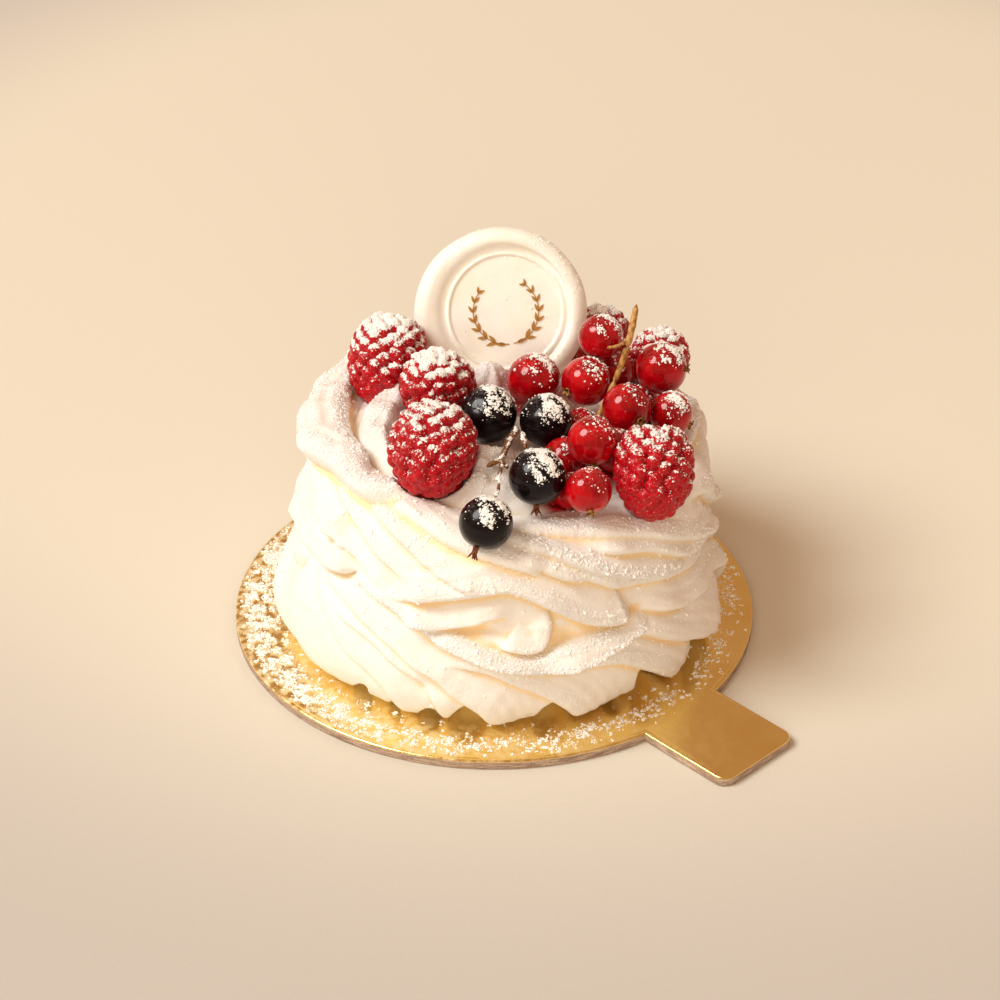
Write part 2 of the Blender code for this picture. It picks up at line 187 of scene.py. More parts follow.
def add_object(name, data):
    """An object in the scene that holds a mesh, a lamp or a camera."""
    made = bpy.data.objects.new(name, data)
    bpy.context.scene.collection.objects.link(made)
    return made


def add_piece(name, points, faces, finishes, slot, stored=None, flat=False):
    """A mesh piece from points in millimetres, riding on the one body."""
    mesh = bpy.data.meshes.new(name)
    mesh.from_pydata((np.asarray(points, float).reshape(-1, 3) * MM).tolist(), [], faces)
    for key, values in (stored or {}).items():
        attribute = mesh.attributes.new(key, "FLOAT", "POINT")
        attribute.data.foreach_set("value", np.ravel(values).astype(np.float32))
    if not flat:
        mesh.shade_smooth()
    for finish in finishes:
        mesh.materials.append(finish)
    piece = add_object(name, mesh)
    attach(piece, "root")
    return piece


def arc(centre, radius, start, end, count):
    """Points along an arc, from one angle to another in degrees."""
    turn = np.radians(np.linspace(start, end, count))
    return [(centre[0] + radius * math.cos(a), centre[1] + radius * math.sin(a)) for a in turn]


def foil_finish():
    """Satin foil: a fine orange-peel grain, softly streaked, with a film of sugar towards the rim."""
    foil = Finish("gold_foil")
    x, y, _ = foil.split(foil.place)
    out = (x * x + y * y) ** 0.5 / MM
    film = out.ramp(34, 46) * foil.noise(1.6, 4).ramp(0.36, 0.66) * (0.5 - x * 9).ramp(0, 1) * 0.75
    tone = foil.mix(foil.noise(14, 2).ramp(0.3, 0.7), colour(254, 226, 146), colour(246, 214, 128))
    grain = foil.bump(foil.noise(0.28, 3), 0.016, foil.bump(foil.noise(9, 1), 0.10))
    satin = foil.noise(2.2, 3) * 0.14 + 0.15
    return foil.shade(Base_Color=foil.mix(film, tone, colour(250, 236, 198)), Metallic=1 - film * 0.8,
                      Roughness=satin + film * 0.3, Normal=grain)


def card_finish():
    """Cut greyboard, with its layers of fibre along the edge."""
    card = Finish("greyboard")
    squashed = card.node("Mapping", None, {"Vector": card.place, "Scale": (0.15, 0.15, 2.0)})
    layers = card.noise(0.5, 3, squashed)
    fibres = card.noise(0.35, 3)
    tone = card.mix(layers.ramp(0.35, 0.65), colour(148, 122, 104), colour(196, 172, 150))
    speckled = card.mix(fibres.ramp(0.5, 0.75) * 0.6, tone, colour(98, 74, 60))
    return card.shade(Base_Color=speckled, Roughness=0.85, Normal=card.bump(fibres + layers, 0.06))


root = math.degrees(math.asin(TAB_HALF_WIDTH / BOARD_RADIUS))
straight = TAB_HALF_WIDTH - TAB_CORNER
outline = arc((0, 0), BOARD_RADIUS, root, 360 - root, BOARD_STEPS)
outline += arc((TAB_REACH - TAB_CORNER, -straight), TAB_CORNER, -90, 0, CORNER_STEPS)
outline += arc((TAB_REACH - TAB_CORNER, straight), TAB_CORNER, 0, 90, CORNER_STEPS)
outline = np.array(outline)
after = np.roll(outline, -1, axis=0) - outline
after /= np.linalg.norm(after, axis=1)[:, None]
before = np.roll(after, 1, axis=0)
inward = np.stack([-(after + before)[:, 1], (after + before)[:, 0]], axis=1)
inward /= (1 + (after * before).sum(axis=1))[:, None]
turn = math.radians(TAB_HEADING - 90)
turned = np.array([[math.cos(turn), math.sin(turn)], [-math.sin(turn), math.cos(turn)]])
inward, outline = inward @ turned, outline @ turned
loops = [np.c_[outline + inset * inward, np.full(len(outline), z)] for inset, z in FOIL_EDGE + CARD_EDGE]
count = len(outline)
faces = tube_faces(len(loops), count, flipped=True)
board = add_piece("board", loops, faces, (foil_finish(), card_finish()), "gold_card")
foiled = (len(FOIL_EDGE) - 1) * count
board.data.polygons.foreach_set("material_index", [0] * foiled + [1] * (len(faces) - foiled - 2) + [0, 1])
board.data.set_sharp_from_angle(angle=math.radians(SHARP_EDGE))
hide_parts("cake_board")

# ---- Meringue nest -------------------------------------------------------------------------------
# Meringue piped with a star tube in overlapping folds that run down to the right, then dried pale. Its
# surface is satin and gritty with sugar where it faces up, with warm shade painted in its creases. It
# stands on the foil.
NEST_WALL = ((36.2, 2.3), (38.8, 4.6), (40.6, 8.5), (41.0, 13), (40.1, 20), (39, 27), (38.3, 33),
             (36.8, 38), (33.4, 41.6), (30.2, 42), (27.6, 40.4), (25.4, 38.4), (21.5, 37.4), (11, 37))
NEST_LEAN = ((0, 0.5), (14, 0.9), (37, 2.4), (46, 1.6))
RIM_DIFFERENCE = 0.076
RIM_HIGH_SIDE = -145.0
MM_PER_DEGREE = 0.733
WALL_STEP = 0.335              # between points up the wall
FRONT_STEP = 0.5               # degrees between points round the front
BACK_STEP = 0.8
SEEN_WALL = 52.0               # the length of wall, over the rim, that the cream leaves bare
FOLD_EDGE = 0.3                # how far above its lower edge a fold is full, as a share of its reach
FOLD_GROOVE = 0.35             # the groove below an edge, as a share of the step
GROOVE_WIDTH = 1.2
COMB_SPACING = 2.3             # between the fine ridges the star tube combs along a fold
COMB_DEPTH = 0.07              # as a share of the step
FOLD_START = 9.0               # the length in which a fold rises, and that in which it ends
FOLD_END = 4.0
FOLD_POINTS = 36               # along the smooth curve of its edge
FOLD_EVEN = 9.0                # swells longer than this come from NEST_SWELL alone
# Folds: step at the lower edge, reach above it, how much sugar lies on them, and that edge as headings and
# lengths up the wall. The side on the left, going along the edge, stands out.
FRONT_FOLDS = (
    (2.8, 5, 0.9, (-152, 36.8), (-128, 37.2), (-110, 37), (-95, 37.4), (-85, 37.8), (-76, 38.2), (-67, 40),
     (-60, 41), (-52, 41), (-44, 41.2), (-39, 42.4), (-35, 43.6), (-31, 45)),
    (1.8, 3.5, 1.0, (-46, 44.2), (-54, 46), (-63, 47.4), (-72, 47.6), (-82, 47.5), (-92, 47.4), (-102, 46.8),
     (-112, 46), (-124, 45.4)),
    (2.4, 6, 0.1, (-105, 21), (-88, 23.2), (-76, 24.6), (-61, 24.8), (-53, 25.5), (-47, 26.5), (-43, 28),
     (-40, 30)),
    (0.7, 2.5, 0.1, (-64, 33.4), (-56, 32.6), (-47, 32), (-40, 30.5), (-35, 29.3), (-30, 28.4)),
    (0.6, 4, 0.1, (-61, 40), (-63, 33), (-62, 28), (-58, 25)),
    (0.8, 3, 0.5, (-62, 40.6), (-57, 39.8), (-48, 37.2), (-38, 34.2), (-29, 31.8), (-24, 30.2)),
    (1.0, 3.5, 0.7, (-48, 41.4), (-43, 40.6), (-32, 38), (-21, 35), (-11, 32.7), (-6, 31.6)),
    (1.9, 4.5, 0.3, (-40, 43.3), (-37, 42.6), (-27, 41.2), (-20, 39.8), (-14, 38.7), (-7, 37.8), (0, 37),
     (5, 36.1), (10, 35)),
    (1.7, 4, 0.5, (0, 38.2), (5, 37.2), (10, 35.9), (14, 34.3), (17, 33.7), (20, 33.4), (26, 31.3),
     (30, 29.9), (36, 28.9), (42, 27.8), (50, 26.5), (60, 25.4), (70, 24.4), (80, 23), (92, 19.5), (104, 13)),
    (1.2, 3, 1.0, (-2, 41), (4, 40), (10, 38.8), (16, 37), (22, 35), (30, 32.4), (38, 30.2), (45, 28.8),
     (54, 27.5)),
    (1.6, 3.5, 0.4, (20, 38.8), (24, 38), (28, 37), (34, 36), (40, 34.8), (45, 33), (50, 30.9), (54, 29.4),
     (60, 28.2), (68, 26.8), (78, 23), (90, 17)),
    (1.2, 4, 0.5, (0, 43), (10, 42), (20, 41), (28, 39.8), (35, 38.8), (42, 36.9), (50, 34.2), (58, 31.4),
     (66, 28.8), (74, 25.5), (84, 20), (96, 13)),
    (1.5, 2.6, 0.7, (56, 44.5), (66, 45.6), (80, 45.2), (95, 43.8), (108, 42.5)),
    (1.3, 2.4, 0.8, (60, 41.0), (72, 42.0), (86, 41.4), (100, 39.5), (112, 38)),
    (2.0, 4, 0.4, (60, 38.5), (70, 35.8), (74, 34.2), (77, 32), (82, 29), (90, 25), (100, 19)),
    (3.0, 5, 0.7, (-31, 27.2), (-29, 27.3), (-23, 27.9), (-18, 28.8), (-12, 30), (-6, 31.2), (0, 32),
     (4, 31.4), (8, 30), (12, 28.2), (16, 26), (20, 24.3), (25, 22.8), (29, 22.2), (33, 22.6), (36, 23.6)),
    (2.0, 3.5, 0.3, (-26, 23.2), (-18, 23.4), (-13, 23.6), (-9, 24.2), (-6, 25.1), (-3, 26.2), (0, 26.7),
     (3, 26.4)),
    (2.0, 3.2, 0.3, (-2, 22.4), (-1, 21.2), (3, 20.2), (7, 19.6), (10, 19.9), (12, 21.4), (12.8, 24),
     (12.2, 26.8), (10.5, 28.8)),
    (2.2, 2.8, 1.0, (-44, 27.6), (-35, 26.5), (-27, 24.8), (-19, 21.8), (-13, 19.8), (-6, 18.3), (0, 17),
     (6, 16), (14, 15.3), (20, 15.9), (27, 17.2), (33, 18.5), (37, 19.6), (40, 21.5)),
    (1.3, 2, 0.8, (36, 22.8), (33, 22.2), (26, 21.8), (20, 21.4), (14, 20.4), (8, 19.3), (2, 20), (-4, 21.3),
     (-10, 22.6), (-18, 23.2)),
    (1.8, 5, 0.3, (-57, 24), (-50, 23), (-43, 22), (-38, 20.6), (-32, 19), (-26, 17), (-21, 14.6),
     (-17, 13.3), (-13, 11), (-9, 8.8), (-5, 6.5), (-3, 3), (-2, -3)),
    (0.9, 3.5, 0.2, (-48, 19.6), (-43, 18.6), (-37, 17.5), (-31, 16), (-26, 14), (-21, 12), (-17, 9),
     (-15, 5), (-14, -3)),
    (1.1, 5, 0.1, (-60, 25), (-58, 23.5), (-55, 19.5), (-47, 16), (-43, 13.6), (-38, 11.8), (-33, 10.3),
     (-29, 8), (-26, 4), (-24.5, -3)),
    (1.0, 5, 0.0, (-62, 24.5), (-67, 17), (-67, 12), (-63, 8), (-58, 4), (-54, 0), (-53, -3)),
    (1.2, 5, 0.0, (-112, 14), (-100, 11), (-90, 6), (-84, 2), (-82, -3)),
    (2.8, 5, 0.1, (34, 24.4), (38, 23), (42, 21.6), (46, 20.2), (50, 19.2), (56, 18.6), (63, 17.9), (70, 17),
     (76, 15.4), (82, 13), (88, 10), (93, 5), (96, -3)),
    (2.0, 5, 0.2, (30, 19.6), (34, 19), (38, 17.6), (42, 15.6), (46, 13.7), (50, 12), (54, 10.4), (58, 8.8),
     (62, 6.8), (66, 4.4), (69, 0), (70, -3)),
    (2.2, 5, 0.6, (8, 15.6), (14, 15), (20, 14.6), (27, 14), (32, 12.8), (36, 10.8), (40, 8.8), (44, 6.6),
     (47.5, 4), (49.5, 0), (50, -3)),
    (1.8, 5, 0.5, (-14, 16.6), (-8, 15.8), (-2, 14.8), (2, 13.4), (6, 11.8), (10, 9.9), (14, 7.9), (17, 5.6),
     (19, 2), (20, -3)),
)
# Where the piping left a pocket: heading, length, depth, and half its size each way.
POCKETS = ((16, 22.6, 1.8, 4, 1.8), (-6.5, 23.6, 1.6, 5, 1.3), (36, 23.8, 1.4, 2.5, 0.8),
           (-17, 11.5, 1.2, 4, 2))
BACK_TIERS = ((25, -2, 5.0), (37, 18, 3.0), (45, 33, 1.0))
BACK_FOLDS = 6
# How far the piping stands out from the wall at these headings and lengths.
SWELL_HEADINGS = (-180, -145, -120, -100, -85, -65, -30, 30, 60, 75, 90, 110, 140)
NEST_SWELL = (
    (0, (2.0, 1.6, 1.0, 1.0, 1.8, 2.0, 2.0, 2.0, 2.0, 2.2, 2.0, 2.0, 2.0)),
    (8, (2.6, 1.8, 0.5, -0.6, 0.6, 2.3, 2.2, 2.2, 2.6, 3.6, 1.4, 1.8, 2.4)),
    (14, (2.6, 1.6, -0.8, -3.4, -1.6, 1.8, 2.2, 2.2, 2.4, 1.8, 0.5, 1.4, 2.4)),
    (21, (2.6, 1.4, -0.6, -2.4, -2.4, 1.0, 2.2, 2.2, 2.0, -1.4, -1.4, 0.2, 2.0)),
    (30, (2.4, 1.0, -0.8, -2.0, -3.0, 0.6, 2.2, 2.2, 1.8, 0.0, 0.2, 1.2, 2.0)),
    (41, (2.2, 0.5, -2.4, -0.4, 1.2, 1.9, 2.0, 2.0, 1.8, 1.8, 1.8, 1.8, 2.0)),
    (48, (1.2, 0.8, 0.5, 1.0, 1.4, 1.4, 1.0, 1.0, 1.0, 1.0, 1.0, 1.0, 1.0)),
)
NEST_UNEVEN = ((0.16, 13, 3), (0.05, 5, 4))    # ripples: height, size and the seed of each
# Arches between the feet of the folds: heading, half width in degrees, height, and lean in degrees.
FOOT_GAPS = ((-38.3, 3.2, 7.2, 6), (-28.3, 1.5, 5.6, 4), (-18, 3.0, 6.0, 1), (-7.8, 5.2, 7.6, 1),
             (14, 5.0, 7.5, -1), (33, 3.2, 4.6, 0), (42, 4.8, 9.2, -7), (66, 6.5, 8.5, -9),
             (88, 3.0, 5.5, -2))
BACK_GAPS = 9
GAP_DEPTH = 7.0
FULL_TURN = 6.283              # radians
RIPPLE_WAVES = 6
RIPPLE_PEAK = 3.4              # about the most that so many waves come to together
BERRY_GAP = 0.1
PAINTED_GLOW_REACH = 2.5              # how far the painted red glow of the fruit reaches, and how strongly
NEST_PAINTED_GLOW = 0.02


def smooth_path(points, steps):
    """Places along a smooth curve through the points, so many or at these lengths, and the lengths."""
    points = np.array(points, float)
    along = np.r_[0, np.cumsum(np.linalg.norm(np.diff(points, axis=0), axis=1))]
    slopes = np.gradient(points, along, axis=0)
    wanted = np.linspace(0, along[-1], steps) if np.isscalar(steps) else np.asarray(steps)
    first = np.clip(np.searchsorted(along, wanted) - 1, 0, len(points) - 2)
    span = (along[first + 1] - along[first])[:, None]
    t = (wanted - along[first])[:, None] / span
    return ((2 * t**3 - 3 * t**2 + 1) * points[first] + (t**3 - 2 * t**2 + t) * span * slopes[first]
            + (3 * t**2 - 2 * t**3) * points[first + 1] + (t**3 - t**2) * span * slopes[first + 1]), wanted


def smooth_line(points, steps):
    """The same for a flat curve, and the normals on its right."""
    curve, wanted = smooth_path(points, steps)
    run = np.gradient(curve, wanted, axis=0)
    run /= np.linalg.norm(run, axis=1)[:, None]
    return curve, wanted, np.stack([run[:, 1], -run[:, 0]], axis=1)


def step(values, low, high):
    """0 at low, 1 at high, and a smooth rise between them."""
    t = np.clip((values - low) / (high - low), 0, 1)
    return t * t * (3 - 2 * t)


def ripple(x, y, size, seed):
    """A soft uneven swell between -1 and 1 with lumps about that size."""
    random = np.random.default_rng(seed)
    total = 0
    for _ in range(RIPPLE_WAVES):
        angle = random.uniform(0, FULL_TURN)
        shift = random.uniform(0, FULL_TURN)
        scale = FULL_TURN * random.uniform(0.7, 1.5) / size
        total = total + np.sin((x * math.cos(angle) + y * math.sin(angle)) * scale + shift)
    return total / RIPPLE_PEAK


def ripples(x, y, parts):
    """The sum of some ripples, each given by its height, size and seed."""
    return sum(height * ripple(x, y, size, seed) for height, size, seed in parts)


def along_line(x, y, line):
    """The distance of each place from a line, the side it is on, and how far along the line it is."""
    nearest = np.full(x.shape, 1e9)
    side = np.zeros(x.shape)
    place = np.zeros(x.shape)
    done = 0.0
    for (x0, y0), (x1, y1) in zip(line, line[1:]):
        dx, dy = x1 - x0, y1 - y0
        length = math.hypot(dx, dy)
        t = np.clip(((x - x0) * dx + (y - y0) * dy) / length**2, 0, 1)
        away = np.hypot(x - x0 - t * dx, y - y0 - t * dy)
        closer = away < nearest
        nearest = np.where(closer, away, nearest)
        side = np.where(closer, np.sign(dx * (y - y0) - dy * (x - x0)), side)
        place = np.where(closer, done + t * length, place)
        done += length
    return nearest, side, place, done


def back_folds():
    """The rows of like folds that go on round the back."""
    for tier, (start, end, bow) in enumerate(BACK_TIERS):
        for i in range(BACK_FOLDS):
            at = 86 + 28 * i + 9 * tier + 4 * math.sin(5 * i + tier)
            sweep = 62 + 8 * math.sin(3 * i + 2 * tier)
            rise = 1.5 * math.sin(7 * i + 4 * tier) - 2.4
            edge = [(at + sweep * t, start + rise + (end - start - rise / 2) * t + 4 * bow * t * (1 - t))
                    for t in np.linspace(0, 1, 7)]
            yield (2.2, 5, 0.35, *edge)


def blurred(values, reach, passes=1):
    """Values on the nest's grid, averaged with their neighbours."""
    for _ in range(passes):
        padded = np.pad(values, ((reach + 1, reach), (0, 0)), "edge").cumsum(axis=0)
        values = (padded[2 * reach + 1:] - padded[:-2 * reach - 1]) / (2 * reach + 1)
        padded = np.pad(values, ((0, 0), (reach + 1, reach)), "wrap").cumsum(axis=1)
        values = (padded[:, 2 * reach + 1:] - padded[:, :-2 * reach - 1]) / (2 * reach + 1)
    return values


def nest_relief(degrees, length):
    """How far the piping stands out from the wall, and how much sugar lies there."""
    relief = np.zeros((len(length), degrees.shape[1]))
    sugar = np.full(relief.shape, 0.12)
    for rise, reach, dusted, *line in (*FRONT_FOLDS, *back_folds()):
        line = np.array(line)
        middle = (line[0, 0] + line[-1, 0]) / 2
        x = (degrees - middle + 180) % 360 - 180 + middle
        window = ((x > line[:, 0].min() - 18) & (x < line[:, 0].max() + 18))[0]
        tall = (length > line[:, 1].min() - 2.5 * reach) & (length < line[:, 1].max() + 2.5 * reach)
        rows, columns = np.ix_(tall[:, 0], window)
        curve = smooth_path(line * (MM_PER_DEGREE, 1), FOLD_POINTS)[0]
        away, side, place, whole = along_line(
            *np.broadcast_arrays(x[0, columns] * MM_PER_DEGREE, length[rows[:, 0]]), curve)
        taper = step(place, 0, min(0.2 * whole, FOLD_START))
        if line[-1, 1] > 0:
            taper = taper * step(whole - place, 0, FOLD_END)
        crest = FOLD_EDGE * reach
        edge = 1 - np.clip(1 - away / crest, 0, None) ** 2
        slope = np.exp(-((np.clip(away - crest, 0, None) / reach) ** 2))
        groove = -FOLD_GROOVE * np.exp(-((away / GROOVE_WIDTH) ** 2))
        comb = COMB_DEPTH * np.sin(FULL_TURN * away / COMB_SPACING) * step(away, crest, reach)
        slope = slope + comb * np.exp(-((away / (1.8 * reach)) ** 2))
        relief[rows, columns] += rise * taper * np.where(side > 0, edge * slope, groove)
        crested = np.exp(-(((away - 1.3 * crest) / (0.45 * reach)) ** 2)) * (side > 0)
        sugar[rows, columns] = np.maximum(sugar[rows, columns], dusted * crested * taper)
    for at, up, depth, half_width, half_height in POCKETS:
        relief -= depth * np.exp(-((degrees - at) / half_width) ** 2 - ((length - up) / half_height) ** 2)
    return relief - blurred(relief, round(FOLD_EVEN / WALL_STEP)), sugar


def berry_shape(node):
    """A berry's middle, and each of its points from there, as the model holds them, in millimetres."""
    points = np.array([vert.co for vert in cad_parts[node].data.vertices]) / MM
    low, high = (np.array(corner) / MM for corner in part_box(node))
    return (low + high) / 2, points


def currant_ball(node):
    """A currant's middle, radius and the way its dried flower points."""
    points = berry_shape(node)[1]
    middle = points.mean(axis=0)
    flower = np.linalg.norm(points - middle, axis=1).argmax()
    middle = np.delete(points, flower, axis=0).mean(axis=0)
    away = np.linalg.norm(points - middle, axis=1)
    return middle, float(np.median(away)), (points[flower] - middle) / away[flower]


# The tips' headings and pitches, in the order of the nodes.
RASPBERRY_TIPS = ((-60, 35), (-20, 50), (-12, -30), (0, -60), (160, 40), (110, 45))


def raspberry_egg(number):
    """A raspberry's middle, radius, half length and the way its tip points."""
    middle, points = berry_shape(f"raspberry_{number}")
    tip = np.array(heading(*RASPBERRY_TIPS[number - 1]))
    along = (points - middle) @ tip
    radius = np.linalg.norm(points - middle - along[:, None] * tip, axis=1).max()
    return middle, float(radius), float(np.abs(along).max()), tip


def berry_balls():
    """Every berry as a ball, or as two for a long raspberry."""
    balls = []
    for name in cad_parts:
        if "currant_" in name and "stalk" not in name:
            middle, radius, _ = currant_ball(name)
            balls.append((*middle, radius))
    for number in range(1, len(RASPBERRY_TIPS) + 1):
        middle, radius, half_length, tip = raspberry_egg(number)
        for end in (-1, 1):
            balls.append((*(middle + end * tip * (half_length - radius)), radius * 0.97))
    return balls


def press(points, balls, clear):
    """Sink a top surface under the balls that lie in it, and say how near the balls each place is."""
    near = np.zeros(points.shape[:-1])
    for x, y, z, radius in balls:
        out = np.hypot(points[..., 0] - x, points[..., 1] - y)
        reach = (radius + clear) ** 2 - out**2
        under = z - np.sqrt(np.maximum(reach, 0))
        gap = np.sqrt(out**2 + (points[..., 2] - z) ** 2) - radius
        near = np.maximum(near, 1 - np.clip(gap / PAINTED_GLOW_REACH, 0, 1))
        points[..., 2] = np.where(reach > 0, np.minimum(points[..., 2], under), points[..., 2])
    return near


def meringue_finish(name, crease_shade):
    """Meringue: ivory white, soft under the skin, gritty where sugar lies, with warm shade painted in the
    creases.
    """
    made = Finish(name)
    fold = made.attribute("crease_shade")
    dusted = made.attribute("sugar")
    painted_fruit_glow = made.attribute("painted_fruit_glow")
    tone = made.mix(made.noise(11, 2).ramp(0.3, 0.7), colour(247, 242, 235), colour(244, 238, 229))
    # Painted shade: a warm shade colour is mixed in where the mesh lies in a crease.
    tone = made.mix(fold ** 1.4 * 0.75, tone, crease_shade)
    tone = made.mix(dusted * 0.55, tone, colour(254, 253, 251))
    # Painted red glow and shade: crimson mixed in near the fruit, and dark red in the gaps between the
    # redcurrants.
    tone = made.mix(painted_fruit_glow, tone, colour(176, 16, 30))
    grit = made.noise(0.5, 4).ramp(0.4, 0.62) * dusted
    pores = made.noise(0.9, 3)
    relief = made.bump(grit, 0.16, made.bump(pores, 0.05))
    return made.shade(Base_Color=tone, Roughness=0.48 + dusted * 0.3, Normal=relief, Subsurface_Weight=0.2,
                      Subsurface_Radius=(1.0, 0.85, 0.65), Subsurface_Scale=1.1 * MM, Specular_IOR_Level=0.4)


def nest_surface():
    """The nest's points row by row, with what is stored at them."""
    low = np.arange(0, SEEN_WALL, WALL_STEP)
    whole = smooth_line(NEST_WALL, 2)[1][-1]
    wall, length, normal = smooth_line(NEST_WALL, np.r_[low, np.linspace(SEEN_WALL, whole, 6)])
    degrees = np.r_[np.arange(-100, 100, FRONT_STEP), np.arange(100, 260, BACK_STEP)][None, :]
    length = length[:, None]
    in_dish = np.where(length > length[-1] / 2, np.clip((30.5 - wall[:, :1]) / 5, 0, 1), 0)
    rings = np.array([np.interp(degrees[0], SWELL_HEADINGS, row, period=360) for _, row in NEST_SWELL])
    swell = np.array([np.interp(length[:, 0], [up for up, _ in NEST_SWELL], ring) for ring in rings.T]).T
    swell = blurred(swell, 6, 2)
    relief, sugar = nest_relief(degrees, length)
    uneven = ripples(degrees * MM_PER_DEGREE, length, NEST_UNEVEN)
    back = [(108 + 18 * i + 4 * math.sin(4 * i), 3.5 + 1.5 * math.sin(3 * i), 6 + 1.5 * math.sin(5 * i), 0)
            for i in range(BACK_GAPS)]
    hollow = 0
    for at, half, tall, lean in (*FOOT_GAPS, *back):
        off = (degrees - at - lean * (length / tall - 0.5) + 180) % 360 - 180
        inside = 1 - np.abs(off / half) ** 2.4 - (length / tall) ** 2
        hollow = np.maximum(hollow, GAP_DEPTH * step(inside, 0, 0.6))
    # Painted shade: how far each place lies below its blurred surroundings, which sets the warm shade painted
    # in the creases.
    crease_shade = np.clip((blurred(relief, 3, 3) - relief) / 0.7, 0, 1) ** 1.3
    relief = (swell + relief + uneven) * (1 - in_dish) - hollow
    normal[:, 1] *= np.clip(length[:, 0] / 6, 0, 1)
    radius = wall[:, :1] + relief * normal[:, :1]
    z = wall[:, 1:] + relief * normal[:, 1:]
    turn = np.radians(degrees)
    z = wall[0, 1] + (z - wall[0, 1]) * (
        1 + RIM_DIFFERENCE * np.cos(turn - math.radians(RIM_HIGH_SIDE)) * (1 - in_dish))
    lean = np.array(NEST_LEAN).T
    shift = np.interp(z, *lean) * (1 - in_dish) + np.interp(NEST_WALL[-1][1], *lean) * in_dish
    points = np.stack([shift + radius * np.sin(turn), -radius * np.cos(turn), z], axis=-1)
    return points, sugar, crease_shade


nest, nest_sugar, nest_crease_shade = nest_surface()
balls = berry_balls()
nest_near = press(nest, balls, BERRY_GAP)
nest_stored = {"sugar": nest_sugar, "crease_shade": nest_crease_shade, "painted_fruit_glow": nest_near * NEST_PAINTED_GLOW}
# The colour given is the warm shade painted into the creases.
nest_finish = meringue_finish("meringue", colour(250, 214, 146))
meringue = add_piece("meringue_nest", nest, tube_faces(*nest.shape[:2]), (nest_finish,), "meringue",
                     nest_stored)
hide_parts("meringue")

# ---- Whipped cream -------------------------------------------------------------------------------
# Cream spooned into the dish and pulled up in small soft peaks. The berries are pushed in.
CREAM_RADIUS = 29.4
CREAM_TURNS = 200
CREAM_STEP = 0.4
CREAM_TOP = ((0, 43.2), (10, 43.3), (18, 43.3), (23, 43.2), (26, 42.8), (28, 41.8), (29.4, 40.0))
# Where the cream was pulled up: x, y, rise and half width.
CREAM_PEAKS = ((-1.3, 10.5, 6.0, 3.6), (13.3, 10.8, 4.5, 3.4), (0.4, -17.5, 2.6, 3.4),
               (-3.5, -22.5, 2.0, 3.0), (5.5, -23, 1.6, 2.6), (-20, 14, 4.0, 4.5), (-0.5, -21, 2.2, 6.0))
# The ribbon of cream inside the rim on the left: its middle line, half width and rise.
CREAM_RIBBON = (((-18.5, 5), (-21.5, -4), (-22.0, -12), (-19.8, -20), (-17.5, -25)), 3.6, 3.4)
HOLLOW_DEPTH = 2.6
CREAM_FOOT = 37.2
CREAM_UNEVEN = ((0.5, 9, 7), (0.25, 4, 8), (0.16, 1.7, 9))
PEAK_FLUTES = 6
# how strongly the fruit's red glow is painted on the cream
CREAM_PAINTED_GLOW = 0.03
REDCURRANTS = 14
REDCURRANT_SHADE_REACH = 1.2              # how far round a redcurrant the painted dark-red shade and glow reach

middle_x = float(np.interp(NEST_WALL[-1][1], *np.array(NEST_LEAN).T))
ring = np.radians(np.arange(CREAM_TURNS) * 360 / CREAM_TURNS)[None, :]
out = np.arange(CREAM_STEP / 2, CREAM_RADIUS, CREAM_STEP)[::-1, None]
x = middle_x + out * np.sin(ring)
y = -out * np.cos(ring)
z = np.interp(out, *np.array(CREAM_TOP).T) + 0 * ring
inner = np.clip((CREAM_RADIUS - out) / 3, 0, 1)
folds = 0.5 * np.sin(0.42 * x + 0.3 * y + 1) * np.cos(0.35 * y - 0.2 * x) + ripples(x, y, CREAM_UNEVEN)
for peak_x, peak_y, rise, width in CREAM_PEAKS:
    away = np.hypot(x - peak_x, y - peak_y)
    fluted = 1 + 0.16 * np.cos(PEAK_FLUTES * np.arctan2(y - peak_y, x - peak_x) + 0.8 * away)
    folds = folds + rise * np.exp(-((away * fluted / width) ** 2))
ribbon, ribbon_half, ribbon_rise = CREAM_RIBBON
away, _, place, whole = along_line(x, y, smooth_path(ribbon, 20)[0])
z = z + inner * (folds - HOLLOW_DEPTH * np.clip((x - 3) / 8, 0, 1))
z = z + inner * ribbon_rise * np.clip(1.15 - (away / ribbon_half) ** 4, 0, 1) * step(whole - place, 0, 5)
cream_points = np.stack([x, y, z], axis=-1)
cream_near = press(cream_points, balls, BERRY_GAP)
cream_points[0, :, 2] = CREAM_FOOT
# Painted shade: how far each place lies below its blurred surroundings, for warm shade painted in the cream's
# creases.
crease_shade = np.clip((blurred(z, 2, 2) - z) / 0.5, 0, 1)
# Painted shade and red glow in the gaps round the redcurrants, stored with the fruit's painted glow.
red_balls = []
for number in range(1, REDCURRANTS + 1):
    middle, radius, _ = currant_ball(f"redcurrant_{number}")
    red_balls.append((*middle, radius + REDCURRANT_SHADE_REACH))
painted_redcurrant_shade = press(cream_points.copy(), red_balls, 0.0)
cream_stored = {"sugar": 0.15 + 0.7 * step(z, 43.5, 46), "crease_shade": crease_shade,
                "painted_fruit_glow": np.maximum(cream_near * CREAM_PAINTED_GLOW, painted_redcurrant_shade)}
# The colour given is the warm shade painted into the cream's creases.
cream = add_piece("cream", cream_points, tube_faces(len(out), CREAM_TURNS),
                  (meringue_finish("cream", colour(247, 226, 184)),), "whipped_cream", cream_stored)
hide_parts("whipped_cream")

